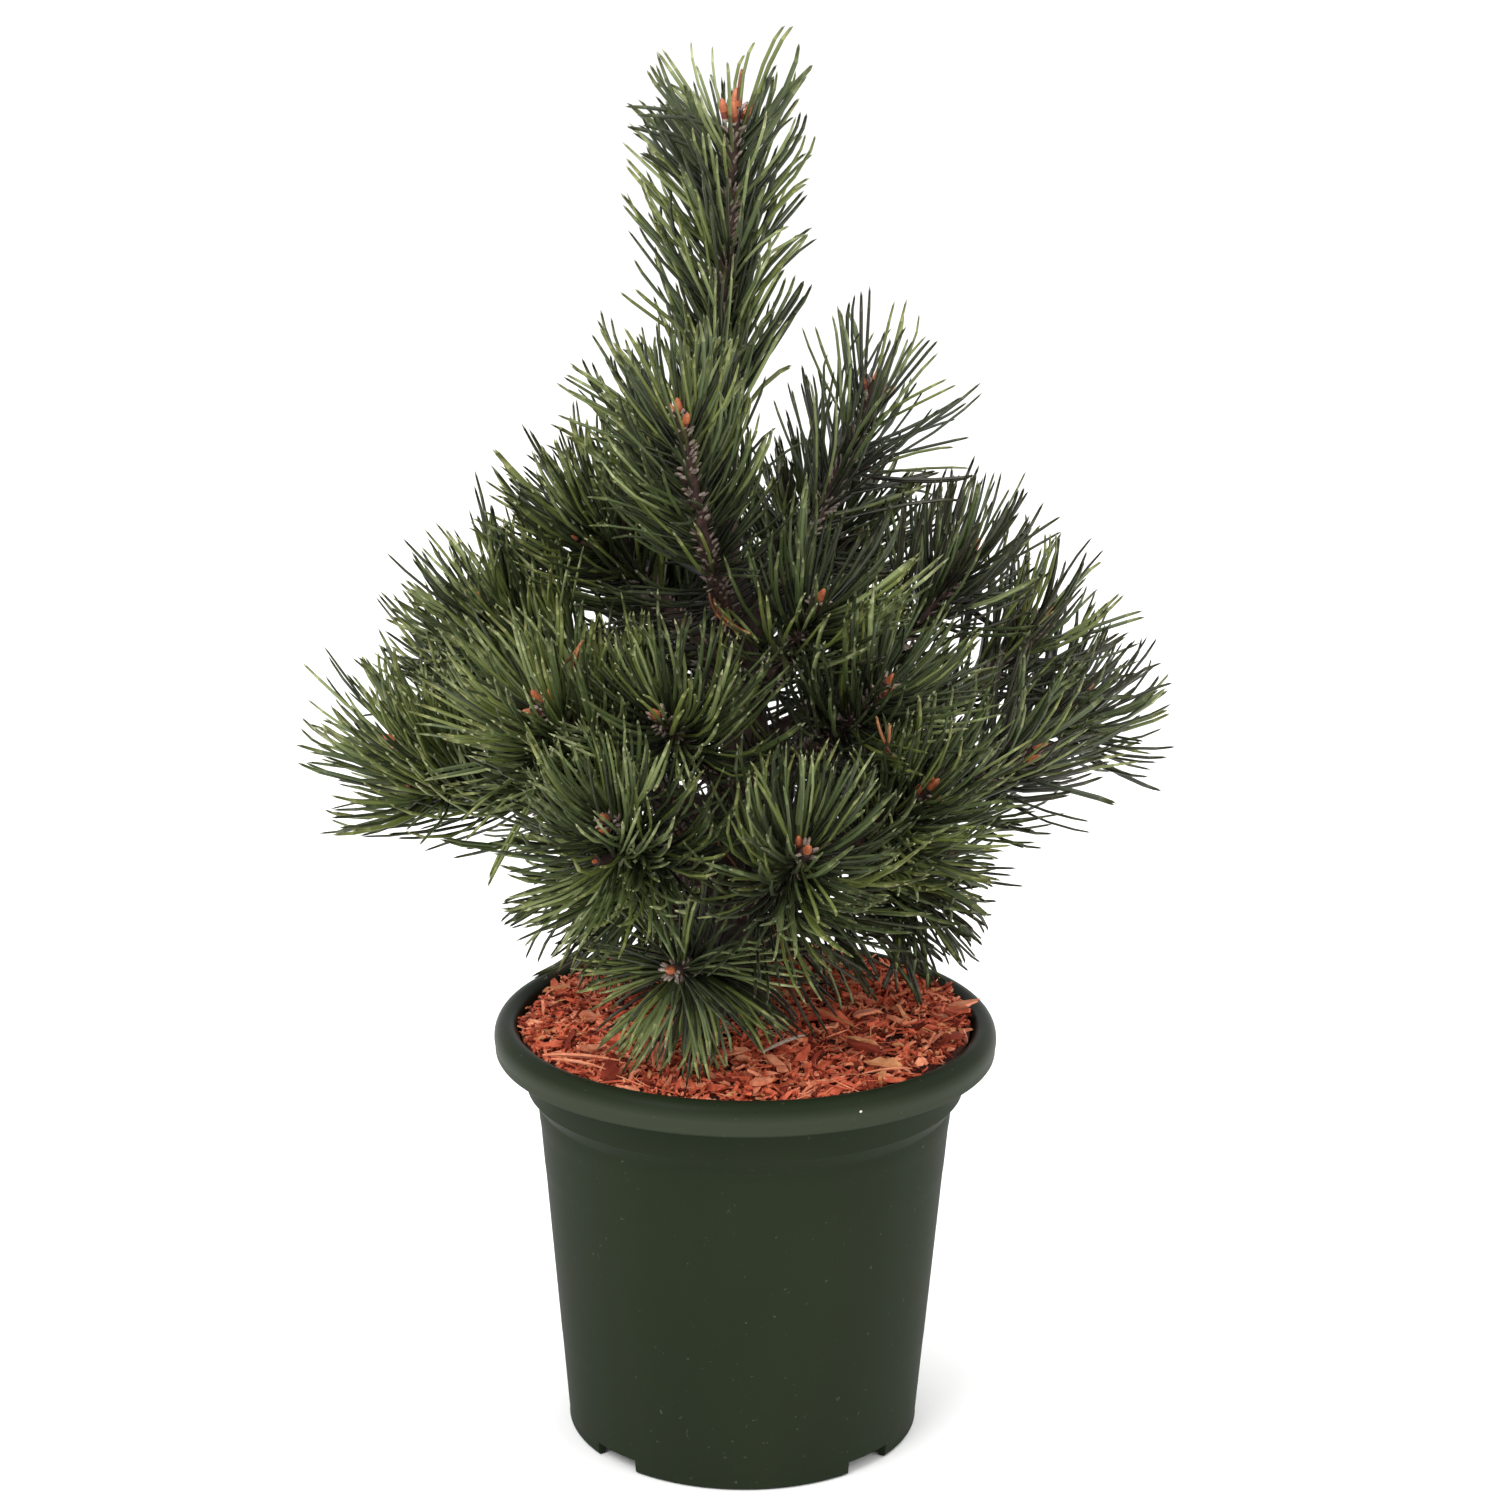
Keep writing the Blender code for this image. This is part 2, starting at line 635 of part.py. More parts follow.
def make_mass(name, line, twig_count, habit, space, seed, parts, profile):
    rng = random.Random(seed)
    mass = three_sided_shoot(name, line, parts, profile)
    pieces = new_collection(name + "_pieces")
    lines = [line]
    obstacles = []
    for root, tip in side_twigs(line, twig_count, rng):
        if len(lines) <= twig_count and space.holds(root, tip, TWIG_RADIUS, TWIG_RADIUS, TWIG_CLEAR_SHARE):
            spike(name + "_twig", root, tip, TWIG_RADIUS, TWIG_RADIUS * TWIG_TAPER, NEEDLE_SIDES, pieces)
            lines.append([root, tip])
            obstacles.append(free_part(root, tip, TWIG_RADIUS, TWIG_RADIUS, TWIG_FREE_SHARE))
    for shoot in lines:
        tip, direction = point_at(shoot, line_lengths(shoot)[-1])
        spike(name + "_bud", tip - direction * BUD_ROOT_DEPTH, tip + direction * BUD_LENGTH,
              BUD_RADIUS, BUD_RADIUS * BUD_TAPER, BUD_SIDES, pieces)
        for root, lean, length in needle_spots(shoot, rng, BARE_SHOOT_FOOT, habit):
            tip = root + lean * length
            needle = free_part(root, tip, NEEDLE_RADIUS, 0.0)
            if space.holds(root, tip, NEEDLE_RADIUS, 0.0) and not crosses(needle, obstacles):
                spike(name + "_needle", root, tip, NEEDLE_RADIUS, 0.0, NEEDLE_SIDES, pieces)
                obstacles.append(needle)
        obstacles = obstacles[len(lines) - 1:] + [sampled(line, [BOUGH_TIP_RADIUS] * len(line))]
    join = mass.modifiers.new("Join", "BOOLEAN")
    join.operation = "UNION"
    join.solver = "EXACT"
    join.operand_type = "COLLECTION"
    join.collection = pieces
    apply_modifiers(mass)
    for piece in list(pieces.objects):
        bpy.data.objects.remove(piece)
    bpy.data.collections.remove(pieces)
    keep_largest_shell(mass.data)
    paint(mass, NEEDLE_GREEN)
    return mass


def keep_largest_shell(mesh):
    # Drops slivers, scraps and the walls of sealed hollows, so that one closed body stays.
    work = bmesh.new()
    work.from_mesh(mesh)
    bmesh.ops.triangulate(work, faces=work.faces)
    bmesh.ops.dissolve_degenerate(work, dist=SLIVER, edges=work.edges)
    unseen = set(work.faces)
    shells = []
    while unseen:
        stack = [unseen.pop()]
        shell = list(stack)
        while stack:
            for edge in stack.pop().edges:
                for face in edge.link_faces:
                    if face in unseen:
                        unseen.remove(face)
                        stack.append(face)
                        shell.append(face)
        shells.append(shell)
    shells.sort(key=len, reverse=True)
    loose = [face for shell in shells[1:] for face in shell]
    bmesh.ops.delete(work, geom=loose, context="FACES")
    bmesh.ops.triangulate(work, faces=work.faces)
    work.to_mesh(mesh)
    work.free()


def clear_scene():
    for thing in list(bpy.data.objects):
        bpy.data.objects.remove(thing)
    for collection in list(bpy.data.collections):
        bpy.data.collections.remove(collection)


def main():
    clear_scene()
    parts = new_collection("mugo_pine")
    cutters = new_collection("cutters")
    profile = triangle_profile(cutters)
    holder = new_object("mugo_pine_origin", None, parts)

    points, radii = trunk_line()
    trunk = tube("trunk", points, radii, parts, TRUNK_SIDES)
    smooth(trunk)
    paint(trunk, BARK_BROWN)
    wide_points, wide_radii = trunk_line(GAP / math.cos(math.pi / TRUNK_SIDES))
    wide_points.insert(0, wide_points[0] - Vector((0, 0, TRUNK_CUT_DROP)))
    wide_radii.insert(0, wide_radii[0])
    wide_points[-1] = wide_points[-1] + Vector((0, 0, GAP))
    trunk_cutter = tube("trunk_cutter", wide_points, wide_radii, cutters, TRUNK_SIDES)
    as_guide(trunk_cutter)

    make_pot(parts, cutters)
    make_root_ball(parts)
    make_mulch(parts, trunk_cutter)

    limbs = [sampled(points, radii)]
    shoots = [("leader_foliage", leader_line(LEADER_POINTS), 0, LEADER_HABIT)]
    for bough in BOUGHS:
        own, shoot = split_limb(bough)
        widths = taper(BOUGH_POINTS, BOUGH_ROOT_RADIUS, BOUGH_TIP_RADIUS)
        limb = tube(bough.name + "_bough", own, widths, parts, BOUGH_SIDES)
        add_boolean(limb, trunk_cutter, "DIFFERENCE")
        apply_modifiers(limb)
        smooth(limb)
        paint(limb, BARK_BROWN)
        limbs.append(sampled(own, widths))
        habit = UPRIGHT_HABIT if bough.lift > UPRIGHT_LIFT else SIDE_HABIT
        shoots.append((bough.name + "_foliage", shoot, bough.twigs, habit))

    stems = [sampled(line, [0.0] * len(line))[0] for _, line, _, _ in shoots]
    for number, (name, line, twig_count, habit) in enumerate(shoots):
        others = np.concatenate(stems[:number] + stems[number + 1:])
        space = Space(stems[number], others, limbs)
        make_mass(name, line, twig_count, habit, space, FIRST_SEED + number, parts, profile)

    for thing in parts.objects:
        if thing is not holder:
            thing.parent = holder


main()
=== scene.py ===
# Looks of a young mugo pine in its nursery pot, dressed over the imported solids.
# Metres, +Z up, and -Y is the front. Names shared with the part's source mean the same sizes.
import math
from collections import namedtuple

import bmesh
import bpy
import numpy as np
from mathutils import Matrix, Vector, noise


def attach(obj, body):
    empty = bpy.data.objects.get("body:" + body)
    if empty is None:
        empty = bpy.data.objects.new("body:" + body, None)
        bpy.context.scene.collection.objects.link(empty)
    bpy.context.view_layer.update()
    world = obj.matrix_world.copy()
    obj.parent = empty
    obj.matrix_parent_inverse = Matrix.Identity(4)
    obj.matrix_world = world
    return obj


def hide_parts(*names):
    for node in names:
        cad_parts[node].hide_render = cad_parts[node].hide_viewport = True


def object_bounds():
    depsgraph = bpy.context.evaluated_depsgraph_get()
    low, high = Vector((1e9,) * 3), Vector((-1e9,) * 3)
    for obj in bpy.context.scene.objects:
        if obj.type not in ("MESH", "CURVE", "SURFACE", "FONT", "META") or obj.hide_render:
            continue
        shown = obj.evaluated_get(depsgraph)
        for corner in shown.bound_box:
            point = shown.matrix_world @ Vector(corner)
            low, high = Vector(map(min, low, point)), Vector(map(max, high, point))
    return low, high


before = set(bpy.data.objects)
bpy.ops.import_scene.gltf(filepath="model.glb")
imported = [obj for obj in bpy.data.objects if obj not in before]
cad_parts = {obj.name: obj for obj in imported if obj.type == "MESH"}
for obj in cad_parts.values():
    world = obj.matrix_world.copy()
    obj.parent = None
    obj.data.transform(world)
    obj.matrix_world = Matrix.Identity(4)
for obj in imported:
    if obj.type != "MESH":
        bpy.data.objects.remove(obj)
cad_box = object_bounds()

GAP = 0.0003
GOLDEN_ANGLE = math.radians(137.508)

# Pot
RIM_RADIUS = 0.095
RIM_INNER_RADIUS = 0.0854
RIM_TOP = 0.1633
ROLL_HALF_HEIGHT = 0.0066
ROLL_HALF_WIDTH = (RIM_RADIUS - RIM_INNER_RADIUS) / 2
ROLL_CENTRE = (RIM_RADIUS - ROLL_HALF_WIDTH, RIM_TOP - ROLL_HALF_HEIGHT)
RIM_LIP_BOTTOM = 0.1510
RIM_LIP_RADII = (0.0010, 0.0011)
COLLAR_RADIUS = 0.0829
COLLAR_BOTTOM = 0.1365
COLLAR_DRAFT = 0.0006
COLLAR_ROUNDING = 0.0007
COLLAR_FILLET = (0.0012, 0.0012)
BODY_TOP_RADIUS = 0.0784
BODY_TOP = 0.1290
FOOT_RADIUS = 0.0675
FOOT_ROUNDING = 0.0010
BODY_SLOPE = (BODY_TOP_RADIUS - FOOT_RADIUS) / BODY_TOP
WALL = 0.0018
FLOOR_UNDERSIDE = 0.0062
FLOOR_THICKNESS = 0.0022
FLOOR_FILLET = 0.001
FOOT_RING_WIDTH = 0.0032
FOOT_RING_DRAFT = 0.0004
NOTCH_COUNT = 4
FIRST_NOTCH = 45
NOTCH_ANGLES = np.radians(FIRST_NOTCH + 360 / NOTCH_COUNT * np.arange(NOTCH_COUNT))
NOTCH_WIDTH = 0.0200
NOTCH_HALF_ANGLE = math.asin(NOTCH_WIDTH / 2 / FOOT_RADIUS)
NOTCH_HEIGHT = 0.0052
# The turn from a notch's foot to its top, in radians.
NOTCH_SIDE = 0.004
DRAIN_RADIUS = 0.0045
DRAIN_CIRCLE = 0.040
DRAIN_SIDES = 32
DRAIN_CUT_LENGTH = 0.050
POT_STEPS = 240
BODY_RINGS = 90
POT_SMOOTH_ANGLE = 35
# Faint moulded steps round the body: height and depth.
BODY_BANDS = ((0.1230, 0.00022), (0.1045, 0.00014), (0.0350, 0.00010))
BAND_SOFTNESS = 0.0005
# A pale fleck on the front of the rim: azimuth, height and radius.
RIM_FLECK = (-64.4, 0.1580, 0.00055)
FLECK_SIDES = 10

# Mulch: the bed's bare surface lies a little under the solid's, and the chips make it up.
SOIL_TOP = 0.1450
MULCH_EDGE_TOP = 0.1610
MULCH_MIDDLE_TOP = 0.1640
MULCH_SLOPE_X = 0.012
MULCH_SLOPE_Y = 0.015
MULCH_SHOULDER = 0.1575
MULCH_RADIUS = RIM_INNER_RADIUS - 2 * GAP
MULCH_RELIEF = 0.0011
MULCH_LUMPS = 90
MULCH_CRUMBS = 420
CRUMB_LAYER = 0.0071
CRUMB_RELIEF = 0.0009
BED_DROP = 0.0016
BED_RINGS = 60
BED_SIDES = 180
BED_FIRST_RING = 0.004
# Chips higher than the start may lean out over the rim, by no more than the lean.
RIM_LEAN_START = 0.1585
RIM_LEAN_SLOPE = 0.6
RIM_LEAN = 0.0016
TRUNK_CLEARANCE = 0.0125
CHIP_COUNT = 5200
FIBRE_COUNT = 520
# Kinds of chip: share of all, then the least and most of length, width and thickness.
ChipKind = namedtuple("ChipKind", "share length width thickness")
CHIP_KINDS = (
    ChipKind(0.05, (0.0080, 0.0150), (0.0018, 0.0040), (0.0009, 0.0018)),
    ChipKind(0.30, (0.0045, 0.0090), (0.0008, 0.0022), (0.0006, 0.0013)),
    ChipKind(0.65, (0.0016, 0.0045), (0.0006, 0.0016), (0.0005, 0.0011)),
)
CHIP_TONES = {"red": 0.50, "rust": 0.25, "dark": 0.22, "tan": 0.03}
FIBRE_TONES = {"red": 0.52, "rust": 0.34, "tan": 0.14}
# Chips that stand out in the photo: place, length, width, thickness, yaw, pitch, roll and tone.
NAMED_CHIPS = (
    (0.076, -0.0275, 0.1668, 0.0095, 0.0046, 0.0016, 62, 10, 24, "tan"),
    (0.0765, -0.031, 0.1652, 0.013, 0.0038, 0.0016, 48, 6, 10, "dark"),
    (0.05, -0.0565, 0.1652, 0.012, 0.0042, 0.0015, -12, 3, 12, "tan"),
    (0.064, -0.0545, 0.1652, 0.007, 0.0034, 0.0016, 50, 12, 20, "rust"),
    (0.0835, 0.005, 0.1664, 0.012, 0.0036, 0.0012, 8, -9, 8, "rust"),
    (0.0805, -0.0035, 0.1668, 0.011, 0.004, 0.0013, -42, -8, 14, "red"),
    (0.03, -0.012, 0.1672, 0.015, 0.0085, 0.0016, -30, 4, 14, "red"),
    (0.0455, -0.011, 0.1676, 0.012, 0.005, 0.0015, 20, -5, -12, "rust"),
    (0.044, -0.043, 0.166, 0.013, 0.0034, 0.0017, -24, 3, 20, "dark"),
    (0.043, -0.038, 0.1672, 0.011, 0.0036, 0.0013, -16, 4, -6, "tan"),
    (-0.031, -0.052, 0.1648, 0.011, 0.0052, 0.0012, 82, -30, 22, "rust"),
    (-0.018, -0.074, 0.1632, 0.01, 0.0036, 0.0014, -8, 0, 8, "rust"),
    (0.006, -0.073, 0.164, 0.009, 0.0032, 0.0014, 30, 0, 10, "rust"),
    (-0.056, -0.04, 0.1645, 0.012, 0.0034, 0.0014, 24, 4, 10, "rust"),
    (-0.048, -0.062, 0.165, 0.011, 0.006, 0.0014, 70, -40, 30, "dark"),
    (0.012, -0.056, 0.165, 0.012, 0.0044, 0.0014, -60, 8, 10, "rust"),
)
# Splinters that stand out: both ends, radius and tone.
NAMED_FIBRES = (
    ((-0.0735, -0.0525, 0.166), (-0.045, -0.061, 0.1672), 0.00085, "rust"),
    ((-0.07, -0.056, 0.1658), (-0.05, -0.067, 0.1662), 0.00065, "rust"),
    ((0.0065, -0.049, 0.1664), (0.0225, -0.035, 0.1682), 0.00065, "pale"),
    ((0.018, -0.002, 0.17), (0.043, -0.029, 0.168), 0.0005, "tan"),
    ((0.02, 0.02, 0.17), (0.048, 0.015, 0.17), 0.0006, "rust"),
    ((0.026, 0.026, 0.17), (0.052, 0.024, 0.17), 0.0005, "tan"),
    ((0.042, -0.068, 0.1655), (0.06, -0.066, 0.167), 0.0005, "rust"),
)

# Trunk and boughs
Station = namedtuple("Station", "height x y radius")
TRUNK = (
    Station(0.1453, 0.000, 0.000, 0.0130),
    Station(0.1540, 0.000, 0.000, 0.0118),
    Station(0.1680, -0.001, 0.001, 0.0104),
    Station(0.2030, -0.004, 0.002, 0.0095),
    Station(0.2310, -0.008, 0.000, 0.0090),
    Station(0.2740, -0.001, -0.002, 0.0078),
    Station(0.3090, -0.003, 0.001, 0.0066),
    Station(0.3450, -0.009, 0.002, 0.0056),
    Station(0.3720, -0.012, 0.001, 0.0048),
)
TRUNK_RINGS = 240
TRUNK_SIDES = 64
BOUGH_SIDES = 20
SHOOT_SIDES = 14
TWIG_SIDES = 12
# The bark narrows by this much between the last two stations, to meet the leader's shoot.
TRUNK_END_TAPER = 0.0012
LEADER_TIP = np.array((-0.006, 0.000, 0.501))
LEADER_BEND = 0.04
LEADER_TIP_LEAN = 0.002
Bough = namedtuple("Bough", "name start azimuth reach height lift shoot twigs buds")
BOUGHS = (
    Bough("low_front", 0.186, -107, 0.089, 0.210, 18, 0.050, 0, 1),
    Bough("low_left", 0.193, 178, 0.066, 0.221, 22, 0.043, 1, 1),
    Bough("low_right", 0.190, 10, 0.078, 0.222, 22, 0.045, 1, 1),
    Bough("low_back", 0.187, 96, 0.078, 0.214, 20, 0.048, 1, 1),
    Bough("front_right", 0.204, -79, 0.107, 0.260, 30, 0.056, 0, 2),
    Bough("front_left", 0.212, -116, 0.110, 0.269, 32, 0.058, 1, 2),
    Bough("back_right", 0.206, 60, 0.116, 0.256, 32, 0.058, 1, 2),
    Bough("back_left", 0.209, 124, 0.116, 0.262, 32, 0.058, 1, 3),
    Bough("right_front", 0.211, -43, 0.088, 0.270, 45, 0.054, 1, 4),
    Bough("far_right", 0.223, -5, 0.106, 0.270, 32, 0.052, 1, 2),
    Bough("far_left", 0.224, -171, 0.130, 0.275, 30, 0.060, 1, 2),
    Bough("left_front", 0.234, -136, 0.100, 0.303, 46, 0.058, 1, 3),
    Bough("right_back", 0.235, 22, 0.141, 0.278, 32, 0.060, 1, 2),
    Bough("back_middle", 0.236, 93, 0.110, 0.296, 42, 0.058, 1, 3),
    Bough("left_back", 0.240, 156, 0.118, 0.290, 40, 0.058, 1, 2),
    Bough("centre_front", 0.252, -112, 0.084, 0.300, 34, 0.046, 0, 1),
    Bough("right_centre", 0.250, -46, 0.071, 0.306, 48, 0.044, 0, 2),
    Bough("right_outer", 0.248, 19, 0.119, 0.309, 50, 0.050, 0, 2),
    Bough("left_upper", 0.256, 179, 0.096, 0.322, 48, 0.052, 1, 2),
    Bough("right_upper", 0.263, 18, 0.088, 0.338, 58, 0.050, 0, 2),
    Bough("back_upper_right", 0.276, 62, 0.068, 0.348, 58, 0.052, 1, 2),
    Bough("back_upper_left", 0.272, 124, 0.070, 0.338, 55, 0.052, 1, 2),
    Bough("centre_right", 0.282, -60, 0.050, 0.334, 52, 0.040, 0, 1),
    Bough("upper_left", 0.292, 172, 0.060, 0.356, 52, 0.046, 1, 1),
    Bough("upper_front", 0.300, -114, 0.060, 0.402, 72, 0.074, 0, 3),
    Bough("upper_right", 0.308, 34, 0.056, 0.400, 70, 0.064, 0, 3),
    Bough("upper_back", 0.322, 150, 0.043, 0.398, 68, 0.060, 0, 2),
)
LEADER_BUDS = 5
BOUGH_ROOT_RADIUS = 0.0040
BOUGH_TIP_RADIUS = 0.0030
SHOOT_TIP_RADIUS = 0.0021
START_LIFT_DROP = 6
# A bough swells where it leaves the trunk: the most, and how far along it fades.
BOUGH_COLLAR = 0.0016
BOUGH_COLLAR_FADE = 0.004
TWIG_SHARE = 0.42
TWIG_ANGLE = 44
TWIG_RADIUS = 0.0022
TWIG_TIP_SHARE = 0.8
TWIG_TRIES = 4
TWIG_PLACES = (0.30, 0.62)
TWIG_LENGTHS = (0.85, 1.1)
TWIG_POINTS = 16

# Bark relief: plates and grains to the metre along x, y and z, and their depths as shares of the
# radius on the trunk, and in metres on the young wood.
PLATES = np.array((170, 170, 75))
FURROW_SHARPNESS = 3.5
PLATE_HEIGHT = 0.075
FURROW_DEPTH = 0.06
OLD_GRAIN = np.array((520, 520, 260))
OLD_GRAIN_DEPTH = 0.035
LEAF_BASE_PITCH = 0.0062
LEAF_BASE_HEIGHT = 0.00042
YOUNG_GRAIN = np.array((900, 900, 700))
YOUNG_GRAIN_DEPTH = 0.00022

# Needles: real pairs, at life size, closer together than the solid ones. They start at a wider
# angle than the solid ones do, because they curve in towards the shoot.
NEEDLE_LENGTH_FOOT = 0.048
NEEDLE_LENGTH_BUD = 0.041
NEEDLE_LENGTH_SPREAD = 0.10
LOW_NEEDLE_SHARE = 0.82
# The low tufts' needles gather in this many clumps, to this share of an even spread.
LOW_CLUMPS = 7
CLUMP_SPREAD = 0.5
NEEDLE_WIDTH = 0.00119
NEEDLE_THICKNESS = 0.00080
DEAD_WIDTH_SHARE = 0.7
WIDTH_RANGE = (0.85, 1.1)
LENGTH_RANGE = (0.95, 1.05)
OLD_PAIR_SPACING = 0.0010
OLD_ANGLES = (62, 92)
# The two needles of a pair: each one's turn from the pair, its bow and its foot's shift.
PAIR_SPLAY = (3.5, 12.5)
PAIR_BOW = 0.06
PAIR_GAP = 0.0003
PAIR_TWIST = 0.9
# How deep in the shoot's radius the needles and the stubs stand.
NEEDLE_SEAT = 0.75
STUB_SEAT = 0.8
# Spreads of the turn round the shoot, the curl in, the rise, the bend and the sway.
TURN_SPREAD = 0.35
CURL_SPREAD = 0.13
RISE_SPREAD = 0.09
BEND_SPREAD = 0.07
SWAY_SPREAD = 0.20
# Angles to the shoot at its foot and its bud and their spread, how much the needles curve in
# and up, the spacing of the pairs and how far below the shoot's end the last one grows.
Habit = namedtuple("Habit", "foot bud spread curl rise spacing last")
LEADER_HABIT = Habit(27, 50, 13, 0.05, 0.02, 0.00049, 0.0100)
UPRIGHT_HABIT = Habit(47, 34, 13, 0.17, 0.08, 0.00038, 0.0085)
THIN_HABIT = Habit(48, 28, 14, 0.14, 0.08, 0.00105, 0.0090)
LACY_HABIT = Habit(62, 42, 15, 0.15, 0.30, 0.00066, 0.0080)
OUTER_HABIT = Habit(60, 36, 13, 0.15, 0.34, 0.00039, 0.0080)
SIDE_HABIT = Habit(70, 36, 14, 0.16, 0.27, 0.00036, 0.0080)
LOW_HABIT = Habit(80, 50, 17, 0.08, -0.14, 0.00036, 0.0065)
# The shoots of each habit. The others have the side habit.
HABIT_SHOOTS = (
    (UPRIGHT_HABIT, ("upper_front",)),
    (THIN_HABIT, ("upper_right", "upper_back")),
    (LACY_HABIT, ("right_upper", "far_right", "right_outer", "right_back")),
    (OUTER_HABIT, ("far_left", "left_back", "left_upper")),
    (LOW_HABIT, ("low_front", "low_left", "low_right", "low_back")),
)
HABITS = {name: habit for habit, names in HABIT_SHOOTS for name in names}
# How far a shoot's needles are swept to one side in x, at its foot and at its bud.
SWEEPS = {"leader": (-0.03, -0.34), "far_left": (-0.05, -0.08), "far_right": (0.05, 0.08)}
NEEDLE_ANGLE_POWER = 1.8
# No needle of an outer shoot hangs more steeply than this.
HANG_LIMIT = -0.66
# The share of the front's needles that is missing from these shoots, up to a share of their length.
BARE_FRONTS = {"upper_front": 0.78, "leader": 0.45}
BARE_FRONT_END = 0.86
# The share of needles missing in front of each shoot's buds, and from where on.
BUD_VIEW = 0.55
BUD_VIEW_START = 0.80
FRONT_FACING = -0.45
SHEATH_LENGTH = 0.0038
SHEATH_RADIUS = 0.00058
# The sheath's rings: places along it and shares of its radius.
SHEATH_RINGS = ((-0.2, 1.15), (0.75, 1.0), (1.0, 0.55))
STUB_SPACING = 0.0006
STUB_LEAN = (0.5, 1.3)
BARE_SHOOT_FOOT = 0.004
BARE_BOUGH_SHARE = 0.15
# Clearances: of needles from limbs, from the mulch, from the rim and from the plant's outer size.
LIMB_CLEARANCE = 0.0006
MULCH_CLEARANCE = 0.0004
RIM_CLEARANCE = 0.0010
RIM_INSIDE = 0.006
RIM_OUTSIDE = 0.002
BOX_CLEARANCE = 0.0004
SHARED_SPACE = 0.020
TRIMS = (1.0, 0.93, 0.86, 0.79, 0.72, 0.65, 0.56, 0.47)
# Dead needles caught in the crown, as the photo shows them: both ends and the bow's middle.
CAUGHT_NEEDLES = np.array((
    ((-0.0138, -0.0560, 0.3387), (-0.0100, -0.0540, 0.3290), (-0.0001, -0.0500, 0.3222)),
    ((-0.0122, -0.0570, 0.3370), (-0.0080, -0.0545, 0.3288), (0.0012, -0.0500, 0.3226)),
    ((-0.0626, -0.0760, 0.3180), (-0.0592, -0.0782, 0.3225), (-0.0565, -0.0800, 0.3270)),
    ((-0.0599, -0.0770, 0.3159), (-0.0592, -0.0790, 0.3205), (-0.0575, -0.0800, 0.3249)),
    ((0.0501, -0.0780, 0.2858), (0.0462, -0.0830, 0.2945), (0.0439, -0.0860, 0.3026)),
    ((0.0479, -0.0780, 0.2876), (0.0486, -0.0830, 0.2940), (0.0483, -0.0860, 0.3002)),
    ((-0.0051, -0.0120, 0.5040), (-0.0046, -0.0130, 0.5100), (-0.0037, -0.0140, 0.5151)),
))
CAUGHT_WIDTH = 0.0011

# Colours, by their usual 0 to 255 screen values. Needles: dark, light and tip. Chips: dark and light.
NEEDLE_COLOURS = {
    # The first tone is painted shade, dealt only to needles in deep shade.
    "painted_shade": ((40, 39, 26), (54, 54, 37), (87, 86, 64)),
    "deep": ((36, 42, 22), (51, 60, 32), (85, 92, 58)),
    "mid": ((60, 71, 37), (81, 94, 53), (131, 138, 92)),
    "olive": ((87, 97, 43), (111, 120, 62), (161, 163, 105)),
    "light": ((108, 119, 70), (136, 147, 97), (181, 185, 136)),
    "dead": ((112, 66, 38), (160, 102, 62), (170, 126, 86)),
}
TONES = tuple(NEEDLE_COLOURS)
# Painted shade at the needles' feet: shares of the dark colour for the foot's two colours.
FOOT_SHADES = (0.40, 0.80)
CHIP_COLOURS = {
    "red": ((168, 68, 44), (230, 118, 86)),
    "rust": ((208, 112, 78), (242, 164, 128)),
    "dark": ((92, 30, 18), (144, 58, 40)),
    "tan": ((190, 118, 74), (224, 162, 114)),
    "pale": ((186, 172, 154), (228, 220, 206)),
}
# Surfaces: colours and their places in the pattern, the pattern's scale, the least and most
# roughness, the fine relief's scale, strength and depth, the pattern's stretch, gloss and detail.
Look = namedtuple("Look", "colours places scale rough relief stretch specular detail",
                  defaults=(None, (1, 1, 1), 0.5, 5.0))
ENDS = (0.3, 0.7)
LOOKS = {
    "potting_soil": Look(((38, 28, 21), (78, 60, 46)), ENDS, 220, (0.85, 1.0), (500, 0.6, 0.0008)),
    "mulch_bed": Look(((40, 17, 12), (92, 44, 32)), ENDS, 330, (0.85, 1.0), (900, 0.8, 0.001)),
    "trunk_bark": Look(((30, 22, 18), (52, 39, 32), (86, 68, 57)), (0.28, 0.5, 0.75), 130, (0.8, 0.95),
                       (700, 0.6, 0.0006), stretch=(1, 1, 0.5)),
    "twig_bark": Look(((34, 20, 16), (60, 38, 30), (100, 76, 64)), (0.3, 0.55, 0.8), 420, (0.7, 0.9),
                      (1500, 0.5, 0.0003)),
    "needle_sheath": Look(((98, 80, 70), (160, 144, 132), (206, 196, 186)), (0.3, 0.6, 0.85), 600,
                          (0.6, 0.8)),
    "bud_scales": Look(((138, 68, 43), (198, 116, 72)), ENDS, 500, (0.35, 0.55), (1200, 0.4, 0.0002)),
    "bud_resin": Look(((150, 122, 106), (210, 196, 186)), ENDS, 500, (0.4, 0.6)),
    "bud_foot": Look(((92, 40, 32), (132, 66, 46)), ENDS, 500, (0.4, 0.6)),
}
CHIP_LOOK = Look(None, ENDS, 260, (0.74, 0.92), (1400, 0.5, 0.0003), specular=0.2)
NEEDLE_LOOK = Look(None, (0.32, 0.68), 55, (0.36, 0.50), (900, 0.05, 0.0001), detail=2.0)
FLOOR_LOOK = Look(None, (0, 1), 2.0, (0.7, 0.8))
FLOOR_COLOURS = ((0.94, 0.94, 0.935, 1), (0.97, 0.97, 0.965, 1))
# The pot: its body's colours, the rim's from the lip up to its top with a painted highlight on its face,
# and the specks of dust.
POT_COLOURS = ((31, 38, 26), (35, 42, 29))
RIM_HIGHLIGHT_COLOURS = ((34, 42, 28), (50, 56, 44), (50, 56, 44), (31, 38, 25))
RIM_HIGHLIGHT_PLACES = (0.0, 0.08, 0.45, 0.78)
POT_DUST = (66, 72, 60)
DUST_PLACES = (0.70, 0.80)
POT_ROUGHNESS = (0.54, 0.36)
POT_SPECULAR = 0.16
POT_IOR = 1.22
